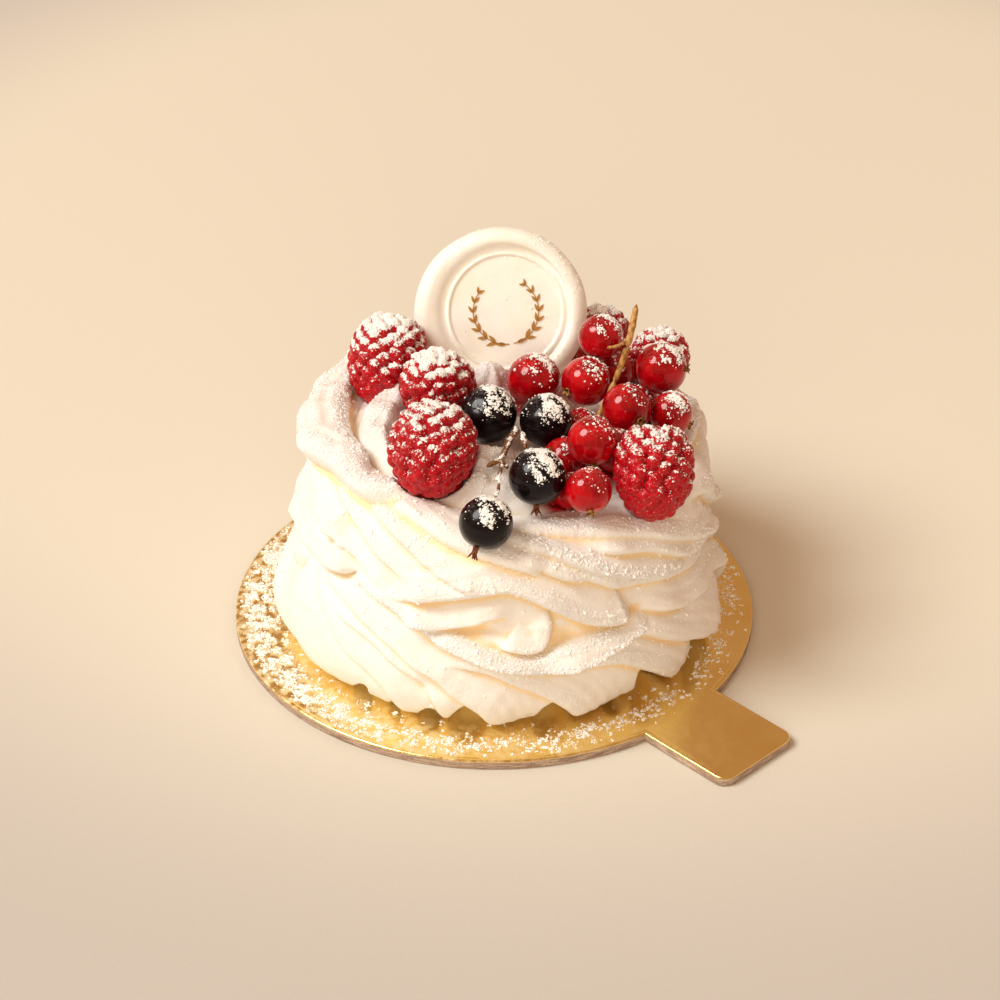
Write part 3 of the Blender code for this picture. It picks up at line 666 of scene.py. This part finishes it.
# ---- White chocolate seal ------------------------------------------------------------------------
# A disc of ivory white chocolate, poured and pressed with a round stamp while soft: a fat uneven rim
# round a flat face with one thin raised ring. Its gold print is a plain wreath. It leans in the cream.
SEAL_LEAN = 27.0
SEAL_TWIST = 10.0
SEAL_TURNS = 120
SEAL_ROWS = 140
SEAL_OFFSET = (1.1, 0.22)
SEAL_SECTION = ((0.3, 1.0), (9.9, 1.0), (10.5, 1.02), (10.75, 1.4), (11.05, 1.42), (11.35, 0.95), (12.1, 1.2),
                (12.9, 2.0), (13.9, 2.35), (15.0, 2.1), (15.85, 1.35), (16.35, 0.2), (16.2, -1.0),
                (15.4, -1.9), (13.8, -2.2), (9, -2.25), (0.3, -2.25))
SEAL_WOBBLE = ((0.009, 2, 0.6), (0.004, 5, 2), (0.002, 9, 0))    # share of the radius, waves, shift
SEAL_UNEVEN = (0.05, 6, 11)
RIM_UNEVEN = (0.025, 2.5, 12)
PRINT_HEIGHTS = (1.03, 1.12)
WREATH_RADIUS = 6.2
WREATH_STEM = (-86, 50)        # degrees round the wreath, from its lowest place on the right
STEM_HALF_WIDTH = 0.09
LEAVES = 8
LEAF = (2.3, 0.4)              # length and half width
FIRST_LEAF = -80.0             # degrees round the wreath, the way to the next, and the leans of a pair
LEAF_SPACING = 17.5
LEAF_LEANS = (28, -34)

seal_middle = sum(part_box("seal_disc"), Vector()) / 2 / MM
seal_turn = Matrix.Rotation(math.radians(90 - SEAL_LEAN), 3, "X")
seal_turn = seal_turn @ Matrix.Rotation(math.radians(SEAL_TWIST), 3, "Z")


def on_seal(points):
    """Points given from the seal's middle, with its face up, put where the seal leans."""
    return np.asarray(points) @ np.array(seal_turn).T + np.array(seal_middle)


section = smooth_path(SEAL_SECTION, SEAL_ROWS)[0]
turn = np.arange(SEAL_TURNS) * 2 * math.pi / SEAL_TURNS
wobble = sum(share * np.sin(waves * turn + shift) for share, waves, shift in SEAL_WOBBLE)
outer = step(section[:, :1], 12.0, 13.8)
reach = section[:, :1] * (1 + wobble * outer)
height = section[:, 1:] * (1 + 0.10 * outer * np.sin(3 * turn + 1) * np.cos(2 * turn))
x = reach * np.cos(turn) + SEAL_OFFSET[0] * (1 - outer)
y = reach * np.sin(turn) + SEAL_OFFSET[1] * (1 - outer)
height = height + ripples(x, y, (SEAL_UNEVEN,)) + ripples(x, y, (RIM_UNEVEN,)) * outer
seal_points = on_seal(np.stack([x, y, height], axis=-1))
ivory = Finish("white_chocolate")
tone = ivory.mix(ivory.noise(7, 2).ramp(0.3, 0.7), colour(253, 251, 241), colour(250, 247, 232))
matt = ivory.noise(1.2, 3)
seal_finish = ivory.shade(Base_Color=tone, Roughness=0.36 + matt * 0.2, Subsurface_Weight=0.25,
                          Normal=ivory.bump(matt, 0.04, ivory.bump(ivory.noise(3.5, 2), 0.08)),
                          Subsurface_Radius=(1.0, 0.7, 0.4), Subsurface_Scale=1.5 * MM)
seal = add_piece("seal", seal_points, tube_faces(SEAL_ROWS, SEAL_TURNS, flipped=True), (seal_finish,),
                 "white_chocolate")
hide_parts("seal_disc")

leaf_outline = np.array([
    (LEAF[0] * t, side * LEAF[1] * math.sin(math.pi * t**0.8))
    for side, places in ((-1, np.linspace(0, 1, 9)), (1, np.linspace(1, 0, 9)[1:-1])) for t in places])
sprig_points = []
sprig_faces = []


def print_shape(flat):
    """A thin raised shape on the seal's face."""
    sprig_faces.extend(tube_faces(len(PRINT_HEIGHTS), len(flat), start=sum(map(len, sprig_points))))
    for height in PRINT_HEIGHTS:
        sprig_points.append(np.c_[flat + SEAL_OFFSET, np.full(len(flat), height)])


for side in (-1, 1):
    for i in range(LEAVES):
        angle = math.radians(FIRST_LEAF + LEAF_SPACING * i)
        for lean in LEAF_LEANS if i else (0,):
            way = angle + math.radians(90 + lean)
            spin = np.array([[math.cos(way), math.sin(way)], [-math.sin(way), math.cos(way)]])
            leaf = leaf_outline * (0.9 - 0.04 * i) @ spin
            leaf += WREATH_RADIUS * np.array([math.cos(angle), math.sin(angle)])
            print_shape((leaf * (side, 1))[::side])
    stem = np.radians(np.linspace(*WREATH_STEM, 24))
    band = [((WREATH_RADIUS + w) * math.cos(a), (WREATH_RADIUS + w) * math.sin(a))
            for w, row in ((-STEM_HALF_WIDTH, stem), (STEM_HALF_WIDTH, stem[::-1])) for a in row]
    print_shape((np.array(band) * (side, 1))[::-side])
gilt = Finish("gold_print")
worn = gilt.noise(0.5, 3)
tone = gilt.mix(worn, colour(214, 168, 96), colour(190, 138, 62))
print_finish = gilt.shade(Base_Color=tone, Metallic=0.6, Roughness=worn * 0.2 + 0.35,
                          Normal=gilt.bump(worn, 0.03))
add_piece("seal_wreath", on_seal(np.concatenate(sprig_points)), sprig_faces, (print_finish,), "gold_card",
          flat=True)

# ---- Raspberries ---------------------------------------------------------------------------------
# Ripe raspberries: velvety drupelets set in a spiral round the hollow that the core left. They sit in
# the cream by their own weight.
DRUPELET_RADIUS = 1.4
DRUPELET_SPACING = 2.35
GOLDEN_TURN = 137.5            # degrees from one drupelet to the next up the berry
RASPBERRY_DETAIL = 6
RASPBERRY_SUGAR = (1.7, 1.8, 0.7, 0.4, 1.0, 1.0)     # how much lies on each, in the order of the nodes
# The first has rolled onto its tip: how far its middle went, how much longer it is, and its tip's way.
FIRST_SHIFT = (0.6, -0.2, 0.6)
FIRST_STRETCH = 1.1
FIRST_TIP = (-25, -50)
CREST_WIDTH = 0.9
HOLLOW_ANGLE = 24.0            # degrees from the stalk end to the edge of the hollow


def ball_mesh(detail):
    """Points and triangles of a finely divided ball of radius 1."""
    mesh = bmesh.new()
    bmesh.ops.create_icosphere(mesh, subdivisions=detail, radius=1)
    mesh.verts.ensure_lookup_table()
    points = np.array([vert.co for vert in mesh.verts])
    faces = [[vert.index for vert in face.verts] for face in mesh.faces]
    mesh.free()
    return points, faces


def frame_of(axis):
    """Two directions across an axis, and the axis, as rows."""
    axis = np.array(axis) / np.linalg.norm(axis)
    across = np.cross(axis, (0.31, 0.17, 1.0))
    across /= np.linalg.norm(across)
    return np.stack([across, np.cross(axis, across), axis])


def raspberry_finish():
    """Crimson skin with painted shade in the grooves and a painted glow along the drupelets' edges, a dry
    bloom, and sugar caught on what faces up.
    """
    made = Finish("raspberry")
    crest = made.attribute("crest")
    up = made.facing_up()
    # Painted shade and light: dark in the grooves between drupelets, and a lighter band along each drupelet's
    # edge.
    tone = made.mix(crest.ramp(0.0, 0.3), colour(84, 0, 6), colour(204, 24, 40))
    tone = made.mix(crest.ramp(0.3, 0.9), tone, colour(172, 2, 18))
    tone = made.mix(made.noise(3.5, 2).ramp(0.35, 0.7) * 0.6, tone, colour(158, 4, 16))
    cover = up * 0.5 + made.attribute("top") * 0.42 + made.noise(0.45, 6) * 0.9
    caught = cover.ramp(1.18, 1.24)
    specks = made.noise(0.3, 2).ramp(0.64, 0.68) * up.ramp(-0.4, 0.6) * 0.7
    tone = made.mix(caught, made.mix(specks, tone, colour(250, 226, 220)), colour(250, 243, 240))
    relief = made.bump(caught * made.noise(0.3, 2), 0.3, made.bump(made.noise(0.5, 2), 0.05))
    return made.shade(Base_Color=tone, Roughness=0.34 + caught * 0.4, Normal=relief, Subsurface_Weight=0.35,
                      Specular_IOR_Level=0.35, Subsurface_Radius=(1.0, 0.12, 0.1), Subsurface_Scale=1.6 * MM)


ball, ball_faces = ball_mesh(RASPBERRY_DETAIL)
raspberry_skin = raspberry_finish()
raspberries = []
for number, sugared in enumerate(RASPBERRY_SUGAR, 1):
    random = np.random.default_rng(number)
    middle, radius, half_length, tip = raspberry_egg(number)
    if number == 1:
        middle = middle + FIRST_SHIFT
        half_length *= FIRST_STRETCH
        tip = heading(*FIRST_TIP)
    core = radius - DRUPELET_RADIUS + 0.05
    count = round(4 * math.pi * core * (core + half_length - radius) / (0.87 * DRUPELET_SPACING**2))
    drupelets = []
    for i in range(count):
        rise = 1 - 2 * (i + 0.5) / count
        wide = core * math.sqrt(1 - rise**2) * (1 - 0.08 * rise)
        turn = math.radians(GOLDEN_TURN * i) + random.normal(0, 0.06)
        drupelets.append((wide * math.cos(turn), wide * math.sin(turn),
                          (half_length - DRUPELET_RADIUS) * rise + random.normal(0, 0.1)))
    drupelets = np.array(drupelets)
    sizes = DRUPELET_RADIUS * random.uniform(0.9, 1.1, len(drupelets))
    towards = ball @ drupelets.T
    inside = sizes**2 - (drupelets**2).sum(axis=1) + towards**2
    reach = np.where(inside > 0, towards + np.sqrt(np.maximum(inside, 0)), 0)
    out = reach.max(axis=1)
    # How far each place is from a groove between drupelets, which the finish paints with shade and a lighter
    # band.
    groove = np.sort(reach, axis=1)[:, -2:]
    crest = np.clip((groove[:, 1] - groove[:, 0]) / CREST_WIDTH, 0, 1)
    core_angle = np.degrees(np.arccos(np.clip(-ball[:, 2], -1, 1)))
    out = np.maximum(out, 0.8 * radius) * (1 - 0.4 * step(HOLLOW_ANGLE - core_angle, 0, 14))
    skin = middle + (ball * out[:, None]) @ frame_of(tip)
    top = (skin - middle)[:, 2] / radius + 0.3 * (sugared - 1)
    piece = add_piece(f"raspberry_skin_{number}", skin, ball_faces, (raspberry_skin,), "raspberry",
                      {"crest": crest, "top": top})
    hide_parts(f"raspberry_{number}")
    raspberries.append(piece)

# ---- Redcurrants and blackcurrants ---------------------------------------------------------------
# Redcurrants are clear scarlet berries veined from end to end. Blackcurrants are darker and duller, with
# a bloom. Each keeps the dried flower it grew from, and they rest in the cream and on each other.
CURRANT_TURNS = 64
CURRANT_RINGS = 40
VEINS = 11
FLOWER_LOBES = 5
FLOWER_RINGS = 9
FLOWER_SIDES = 24
FLOWER_HALF_WIDTH = 0.62
RED_FLOWER_LENGTH = 0.75
BLACK_FLOWER_LENGTH = 2.3


def currant_finish(name, deep, clear, vein, gloss, bloom, depth, dusted, coat):
    """A currant's skin, with veins from end to end and sugar caught on what faces up."""
    made = Finish(name)
    x, y, z = made.split(made.attribute("local", "Vector"))
    around = y.calc("ARCTAN2", y, x)
    bands = around * VEINS + made.noise(3, 1) * 3
    wave = bands.calc("SINE", bands)
    veins = (wave * wave).ramp(0.86, 1.0) * (1 - (z * z)) * made.noise(1.5, 2).ramp(0.3, 0.6)
    up = made.facing_up()
    tone = made.mix(made.noise(3, 2).ramp(0.3, 0.7), deep, clear)
    tone = made.mix(veins * 0.05, tone, vein)
    tone = made.mix(made.noise(0.7, 3) * bloom, tone, colour(150, 140, 160))
    dust = up.ramp(0.4, 1.0) * made.noise(0.5, 5).ramp(0.5, 0.62) * dusted
    tone = made.mix(dust, tone, colour(250, 242, 238))
    return made.shade(Base_Color=tone, Roughness=gloss + dust * 0.5, Normal=made.bump(dust, 0.1),
                      Subsurface_Weight=0.5 if depth else 0.0, Subsurface_Radius=(1.0, 0.08, 0.05),
                      Subsurface_Scale=depth * MM, Specular_IOR_Level=0.12, Coat_Weight=coat,
                      Coat_Roughness=0.07)


def flower_finish(name, dark, light):
    """A dried flower, papery and wrinkled."""
    made = Finish(name)
    tone = made.mix(made.noise(0.6, 3).ramp(0.35, 0.65), dark, light)
    return made.shade(Base_Color=tone, Roughness=0.75, Normal=made.bump(made.noise(0.3, 3), 0.1))


def add_currant(node, length, skin, flower):
    """A currant with its dried flower, in place of its node."""
    random = np.random.default_rng(sum(map(ord, node)))
    middle, radius, axis = currant_ball(node)
    basis = frame_of(axis)
    angle = np.linspace(0.02, math.pi - 0.02, CURRANT_RINGS)[:, None]
    turn = (np.arange(CURRANT_TURNS) * 2 * math.pi / CURRANT_TURNS)[None, :]
    dimple = 1 - 0.035 * np.exp(-((angle / 0.35) ** 2)) - 0.05 * np.exp(-(((math.pi - angle) / 0.3) ** 2))
    out = radius * dimple * (1 + 0.006 * ripple(turn * 3, angle * 3, 6, len(node)))
    unit = np.stack([np.sin(angle) * np.cos(turn), np.sin(angle) * np.sin(turn),
                     np.cos(angle) + 0 * turn], axis=-1)
    berry = (unit * out[..., None]).reshape(-1, 3)
    faces = tube_faces(CURRANT_RINGS, CURRANT_TURNS, flipped=True)
    skinned = len(faces)
    t = np.linspace(0, 1, FLOWER_RINGS)[:, None]
    around = (np.arange(FLOWER_SIDES) * 2 * math.pi / FLOWER_SIDES)[None, :]
    spread = 0.5 + 0.5 * np.cos(FLOWER_LOBES * around + random.uniform(0, 6))
    wide = FLOWER_HALF_WIDTH * (1 - 0.3 * np.sin(math.pi * t)) * (1 + 0.8 * t**2 * spread)
    wide = wide + 0.06 * random.normal(size=wide.shape) * t
    tall = radius * 0.95 + length * t * (1 - 0.45 * t * (1 - spread))
    tall = tall + 0.08 * random.normal(size=tall.shape) * t
    cup = np.stack([wide * np.cos(around), wide * np.sin(around), tall], axis=-1)
    inner = cup[::-1] * (0.8, 0.8, 1.0) - (0, 0, 0.12)
    petals = np.concatenate([cup, inner])
    faces += tube_faces(len(petals), FLOWER_SIDES, start=len(berry), flipped=True)
    points = np.concatenate([berry, petals.reshape(-1, 3)]) @ basis + middle
    piece = add_piece(f"{node}_berry", points, faces, (skin, flower), slot=node.split("_")[0])
    local = np.concatenate([unit.reshape(-1, 3), np.zeros((petals.size // 3, 3))])
    stored = piece.data.attributes.new("local", "FLOAT_VECTOR", "POINT")
    stored.data.foreach_set("vector", local.astype(np.float32).ravel())
    piece.data.polygons.foreach_set("material_index", [0] * skinned + [1] * (len(faces) - skinned))
    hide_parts(node)
    return piece


golden_flower = flower_finish("dried_flower", colour(84, 52, 22), colour(196, 152, 76))
red_flower = flower_finish("dried_tail", colour(74, 22, 12), colour(150, 84, 44))
scarlet = currant_finish("redcurrant", colour(144, 0, 10), colour(190, 7, 20), colour(255, 120, 90),
                         gloss=0.12, bloom=0.0, depth=2.5, dusted=0.05, coat=0.6)
black = currant_finish("blackcurrant", colour(7, 3, 5), colour(14, 7, 10), colour(40, 22, 28),
                       gloss=0.25, bloom=0.01, depth=0, dusted=0.05, coat=0.34)
currants = []
for node in sorted(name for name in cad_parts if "currant_" in name and "stalk" not in name):
    if node.startswith("red"):
        currants.append(add_currant(node, RED_FLOWER_LENGTH, scarlet, golden_flower))
    else:
        currants.append(add_currant(node, BLACK_FLOWER_LENGTH, black, red_flower))

# ---- Stalks --------------------------------------------------------------------------------------
# The bunches' stalks: a dry golden one that stands out of the redcurrants, and a sugared reddish one that
# lies among the blackcurrants. For each stem and twig: half its width at either end, then its course.
RED_STALK = (
    (0.62, 0.42, (25.9, 3.0, 65.2), (25.2, 1.2, 62.0), (24.4, -0.8, 59.2), (23.2, -0.6, 54.5),
     (21.6, -1.2, 50.0), (19.6, -5.0, 47.6), (17.9, -10.0, 46.8)),
    (0.36, 0.26, (24.6, -0.4, 60.2), (23.2, 1.6, 57.6), (21.6, 4.2, 55.6), (20.6, 6.6, 54.2)),
)
BLACK_STALK = (
    (0.62, 0.42, (4.3, -11.5, 47.8), (2.6, -17.0, 48.0), (1.1, -21.5, 47.4), (-1.3, -23.6, 47.0)),
    (0.34, 0.26, (1.1, -21.5, 47.4), (1.3, -24.6, 47.6), (0.9, -29.0, 48.2), (0.7, -33.2, 47.7),
     (0.2, -34.9, 47.9)),
    (0.36, 0.3, (1.1, -21.5, 47.4), (2.5, -24.3, 47.2)),
    (0.5, 0.36, (4.9, -13.0, 47.6), (5.7, -17.2, 47.0)),
)
STALK_SIDES = 12
STALK_ROWS = 30
KNOB_SPACING = 2.6
KNOB = 0.14                    # as a share of the stalk's width


def add_stalk(name, node, parts, finish):
    """A stalk and its twigs, ribbed and swollen where twigs once left it."""
    all_points = []
    all_faces = []
    for part, (start_half, end_half, *route) in enumerate(parts):
        path, along = smooth_path(route, STALK_ROWS)
        run = np.gradient(path, axis=0)
        run /= np.linalg.norm(run, axis=1)[:, None]
        across = np.cross(run, (0.3, 0.2, 1.0))
        across /= np.linalg.norm(across, axis=1)[:, None]
        other = np.cross(run, across)
        turn = (np.arange(STALK_SIDES) * 2 * math.pi / STALK_SIDES)[None, :]
        t = np.linspace(0, 1, STALK_ROWS)[:, None]
        knob = 1 + KNOB * np.exp(-(((along[:, None] + part) % KNOB_SPACING - 1.2) / 0.35) ** 2)
        wide = (start_half + (end_half - start_half) * t) * knob * (1 + 0.07 * np.cos(4 * turn + 2 * t))
        wide = wide * np.sqrt(np.clip(1 - (2 * t - 1) ** 16, 0.02, 1))
        tube = path[:, None] + wide[..., None] * (np.cos(turn)[..., None] * across[:, None]
                                                  + np.sin(turn)[..., None] * other[:, None])
        all_faces += tube_faces(STALK_ROWS, STALK_SIDES, start=sum(map(len, all_points)))
        all_points.append(tube.reshape(-1, 3))
    piece = add_piece(name, np.concatenate(all_points), all_faces, (finish,), "stalk")
    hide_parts(node)
    return piece


def stalk_finish(name, dry, fresh):
    """A woody stalk, streaked along its length."""
    made = Finish(name)
    streak = made.noise(0.8, 4)
    tone = made.mix(streak.ramp(0.35, 0.65), dry, fresh)
    return made.shade(Base_Color=tone, Roughness=0.6, Normal=made.bump(streak, 0.1))


add_stalk("stalk_of_redcurrants", "redcurrant_stalk", RED_STALK,
          stalk_finish("dry_stalk", colour(150, 98, 44), colour(206, 160, 92)))
black_stalk = add_stalk("stalk_of_blackcurrants", "blackcurrant_stalk", BLACK_STALK,
                        stalk_finish("red_stalk", colour(96, 36, 22), colour(150, 104, 56)))

# ---- Icing sugar ---------------------------------------------------------------------------------
# Sifted over the finished cake, so it lies on whatever faces up: single grains and small clumps. The
# sieve was held over the left, and the board there is nearly white. Each piece is all the grains on it.
GRAIN = np.array([(1, 0, 0), (-1, 0, 0), (0, 1, 0), (0, -1, 0), (0, 0, 1), (0, 0, -1)], float)
GRAIN_FACES = np.array([(0, 2, 4), (2, 1, 4), (1, 3, 4), (3, 0, 4),
                        (2, 0, 5), (1, 2, 5), (3, 1, 5), (0, 3, 5)])
GRAIN_SQUASH = 0.45            # how much flatter than rough crystals the crumbs lie
GRAIN_RISE = 0.25              # how far a grain's middle stands out, as a share of its half size
SUGAR_SEED = 21
# Grains on each thing, the log of their usual half size and its spread, and the least and most.
GRAINS = {"board": (14000, -1.75, 0.45, 0.08, 0.5), "meringue": (14000, -1.8, 0.5, 0.08, 0.5),
          "raspberries": (15000, -2.0, 0.55, 0.06, 0.42), "currants": (9000, -2.0, 0.55, 0.06, 0.42),
          "cream": (2500, -2.0, 0.55, 0.06, 0.42), "seal": (800, -2.1, 0.4, 0.07, 0.3)}
# How much lies on a piece against the others dusted with it.
SUGARED = {"redcurrant_1_berry": 0.5, "redcurrant_2_berry": 0.2, "redcurrant_6_berry": 0.7,
           "redcurrant_7_berry": 0.9, "redcurrant_8_berry": 1.0, "stalk_of_blackcurrants": 2.5, "cream": 1.0}
SUGARED |= {f"blackcurrant_{i}_berry": 1.3 for i in range(1, 5)}
LITTLE_SUGARED = 0.12
SUGARED |= {f"raspberry_skin_{i}": LITTLE_SUGARED * share for i, share in enumerate(RASPBERRY_SUGAR, 1)}
# Round the board: how likely sugar is at each heading, and the band near the rim where it lies.
BOARD_SUGAR = ((-180, -120, -85, -50, -25, 0, 20, 40, 60, 90, 130, 180),
               (0.55, 0.9, 1.0, 0.9, 0.5, 0.35, 0.5, 0.5, 0.25, 0.2, 0.3, 0.55))
BAND_MIDDLE = ((-90, -20, 30, 120), (45.5, 46.0, 45, 46))
BAND_WIDTH = ((-90, -20, 30, 60, 120), (2.9, 2.2, 1.5, 1.8, 2.6))
BOARD_TRIES = 14               # places drawn for each grain, most of them dropped
BOARD_CLUMPS = 3600
CLUMP_SPREAD = 0.26
BOARD_TOP = 2.0
NEST_SINK = 0.03
SEAL_BARE_ABOVE = 68.1


def sugar_finish():
    """Icing sugar: matt white, in dry crumbs."""
    made = Finish("icing_sugar")
    tone = made.mix(made.noise(0.4, 2), colour(255, 255, 251), colour(254, 253, 247))
    return made.shade(Base_Color=tone, Roughness=0.6, Normal=made.bump(made.noise(0.12, 2), 0.03))


def read(items, field, width=1, kind=float):
    """What some parts of a mesh hold in a field, with a row for each part."""
    values = np.empty(len(items) * width, kind)
    items.foreach_get(field, values)
    return values.reshape(-1, width) if width > 1 else values


def surface_of(*pieces):
    """The corner points, normals and areas of every triangle of some pieces, in millimetres."""
    surfaces = []
    for piece in pieces:
        piece.data.calc_loop_triangles()
        triangles = piece.data.loop_triangles
        corners = read(piece.data.vertices, "co", 3)[read(triangles, "vertices", 3, int)] / MM
        surfaces.append((corners, read(triangles, "normal", 3), read(triangles, "area") / MM**2))
    return [np.concatenate(part) for part in zip(*surfaces)]


def rise_in(*pieces):
    """How high in its own piece the middle of every triangle is, from 0 to 1."""
    rises = []
    for piece in pieces:
        heights = surface_of(piece)[0][..., 2].mean(axis=1)
        rises.append((heights - heights.min()) / np.ptp(heights))
    return np.concatenate(rises)


def pick(corners, normals, weight, count):
    """Random places on triangles, more of them where the weight is large, and the normals there."""
    chosen = random.choice(len(weight), count, p=weight / weight.sum())
    share = random.dirichlet((1, 1, 1), count)
    return (corners[chosen] * share[..., None]).sum(axis=1), normals[chosen]


def add_grains(name, places, normals):
    """One mesh of low crumbs that stand half out of the surface."""
    count = len(places)
    _, usual, spread, least, most = GRAINS[name]
    sizes = np.clip(random.lognormal(usual, spread, count), least, most)
    turns = np.linalg.qr(random.normal(size=(count, 3, 3)))[0]
    points = (GRAIN * random.uniform(0.55, 1.25, (count, 6, 1)) * sizes[:, None, None]) @ turns
    points -= (points * normals[:, None]).sum(axis=2, keepdims=True) * normals[:, None] * GRAIN_SQUASH
    points += (places + normals * sizes[:, None] * GRAIN_RISE)[:, None]
    faces = np.arange(count)[:, None, None] * len(GRAIN) + GRAIN_FACES
    mirrored = np.linalg.det(turns) < 0
    faces[mirrored] = faces[mirrored][..., ::-1]
    add_piece(f"sugar_on_{name}", points, faces.reshape(-1, 3).tolist(), (sugar,), "meringue", flat=True)


sugar = sugar_finish()
random = np.random.default_rng(SUGAR_SEED)
grains = GRAINS["board"][0]
angle = random.uniform(-180, 180, BOARD_TRIES * grains)
out = np.sqrt(random.uniform(39.5**2, 49.4**2, len(angle)))
wanted = np.interp(angle, *BOARD_SUGAR)
near_rim = np.exp(-((out - np.interp(angle, *BAND_MIDDLE)) / np.interp(angle, *BAND_WIDTH)) ** 2)
spot = ripple(out * np.sin(np.radians(angle)), out * np.cos(np.radians(angle)), 4.5, 31)
keep = random.uniform(size=len(angle)) < wanted * (0.05 + near_rim) * np.clip(0.6 + 0.8 * spot, 0, 1)
angle, out = (values[keep][:BOARD_CLUMPS] for values in (angle, out))
turn = np.radians(angle)
clumps = np.stack([out * np.sin(turn), -out * np.cos(turn), np.full(len(out), BOARD_TOP)], axis=1)
places = clumps[random.integers(0, len(clumps), grains)]
places[:, :2] += random.normal(0, CLUMP_SPREAD, (grains, 2))
out = np.hypot(places[:, 0], places[:, 1])
places = places[(out > 38) & (out < 49.2)]
add_grains("board", places, np.tile((0.0, 0.0, 1.0), (len(places), 1)))

corners, normals, areas = surface_of(meringue)
middles = corners.mean(axis=1)
up = step(normals[:, 2], 0.0, 0.75)
lies = read(meringue.data.attributes["sugar"].data, "value")
lies = lies[read(meringue.data.loop_triangles, "vertices", 3, int)].mean(axis=1)
seen = step(np.hypot(middles[:, 0] - 1.5, middles[:, 1]), 26, 29)
places, normals = pick(corners, normals, areas * (0.03 + up) * lies**1.3 * seen, GRAINS["meringue"][0])
add_grains("meringue", places - normals * NEST_SINK, normals)

# On the fruit and cream it lies on what faces up, and on currants away from the left, in patches.
for name, pieces, low, bare in (("raspberries", raspberries, 0.35, -1),
                                ("currants", [*currants, black_stalk], 0.1, -0.35),
                                ("cream", [cream], 0.3, -1)):
    corners, normals, areas = surface_of(*pieces)
    share = np.repeat([SUGARED.get(piece.name, LITTLE_SUGARED) for piece in pieces],
                      [len(piece.data.loop_triangles) for piece in pieces])
    up = step(normals[:, 2], low, 1.0) ** 1.5 * (0.03 + step(normals[:, 0], bare, bare + 0.3))
    middles = corners.mean(axis=1)
    patchy = step(ripple(middles[:, 0] + middles[:, 2], middles[:, 1] - middles[:, 2], 2.3, 33), -0.3, 0.5)
    weight = areas * share * up * (0.08 + patchy) * (0.04 + step(rise_in(*pieces), 0.25, 0.85))
    add_grains(name, *pick(corners, normals, weight, GRAINS[name][0]))

corners, normals, areas = surface_of(seal)
middles = corners.mean(axis=1)
right = step(middles[:, 0] + 0.6 * middles[:, 2] - 34, 0, 8)
patchy = step(ripple(middles[:, 0], middles[:, 2], 3.0, 35), -0.2, 0.5)
weight = areas * step(normals[:, 2], 0.3, 0.9) * (0.02 + right * (0.2 + patchy))
weight = weight * (middles[:, 2] < SEAL_BARE_ABOVE)
add_grains("seal", *pick(corners, normals, weight, GRAINS["seal"][0]))

# ---- Floor, light and camera ---------------------------------------------------------------------
# A sheet of pale peach paper under one big soft lamp high on the left, a weak reflector in front, and the
# warm light of the room. A long lens looks down on the cake from the front.
FLOOR_HALF = 3.0
PAPER_LIGHT = (0.03, 0.155)    # the middle of the pool of light painted on the paper
# Each lamp's way from the cake, distance, width, power and colour.
LAMP = ((-0.61, -0.18, 0.77), 4.0, 2.2, 143.0, (0.975, 0.965, 0.925))
REFLECTOR = ((-0.12, -0.96, 0.22), 3.0, 2.4, 45.0, (0.90, 0.88, 0.74))
LIT_HEIGHT = 0.03              # both face the middle of the cake
ROOM_COLOUR = (0.475, 0.277, 0.175, 1)
CAMERA_PLACE = (0.00112, -0.3978, 0.2805)
CAMERA_TILT = 57.28
CAMERA_LENS = 90
CAMERA_SENSOR = 36


def add_lamp(name, way, distance, width, power, tint):
    """A round lamp that faces the cake."""
    data = bpy.data.lights.new(name, "AREA")
    data.shape = "DISK"
    data.size = width
    data.energy = power
    data.color = tint
    lamp = add_object(name, data)
    way = Vector(way).normalized()
    lamp.location = Vector((0, 0, LIT_HEIGHT)) + way * distance
    lamp.rotation_euler = way.to_track_quat("Z", "Y").to_euler()
    return lamp


paper = Finish("peach_paper")
fibre = paper.noise(0.8, 3)
x, y, _ = paper.split(paper.place)
right, back = x - PAPER_LIGHT[0], y - PAPER_LIGHT[1]
out = (right * right + back * back) ** 0.5
tone = paper.mix(fibre, colour(229, 225, 208), colour(226, 221, 203))
# Painted light: the paper is mixed darker away from the middle of the lamp's pool.
tone = paper.mix(out.ramp(0.16, 0.27) * 0.26, tone, (0.0, 0.0, 0.15, 1.0))
floor_mesh = bpy.data.meshes.new("floor")
sides = ((-1, -1), (1, -1), (1, 1), (-1, 1))
floor_mesh.from_pydata([(x * FLOOR_HALF, y * FLOOR_HALF, 0) for x, y in sides], [], [(0, 1, 2, 3)])
floor_mesh.materials.append(paper.shade(Base_Color=tone, Roughness=0.8, Normal=paper.bump(fibre, 0.02)))
floor = add_object("floor", floor_mesh)

add_lamp("soft_lamp", *LAMP)
add_lamp("front_reflector", *REFLECTOR).visible_glossy = False

room = bpy.data.worlds.new("room")
room.use_nodes = True
backdrop = room.node_tree.nodes["Background"]
backdrop.inputs["Color"].default_value = ROOM_COLOUR
backdrop.inputs["Strength"].default_value = 1.0
bpy.context.scene.world = room
bpy.context.scene.view_settings.view_transform = "Standard"

camera_data = bpy.data.cameras.new("camera")
camera_data.lens = CAMERA_LENS
camera_data.sensor_width = CAMERA_SENSOR
camera = add_object("camera", camera_data)
camera.location = CAMERA_PLACE
camera.rotation_euler = (math.radians(CAMERA_TILT), 0, 0)
bpy.context.scene.camera = camera
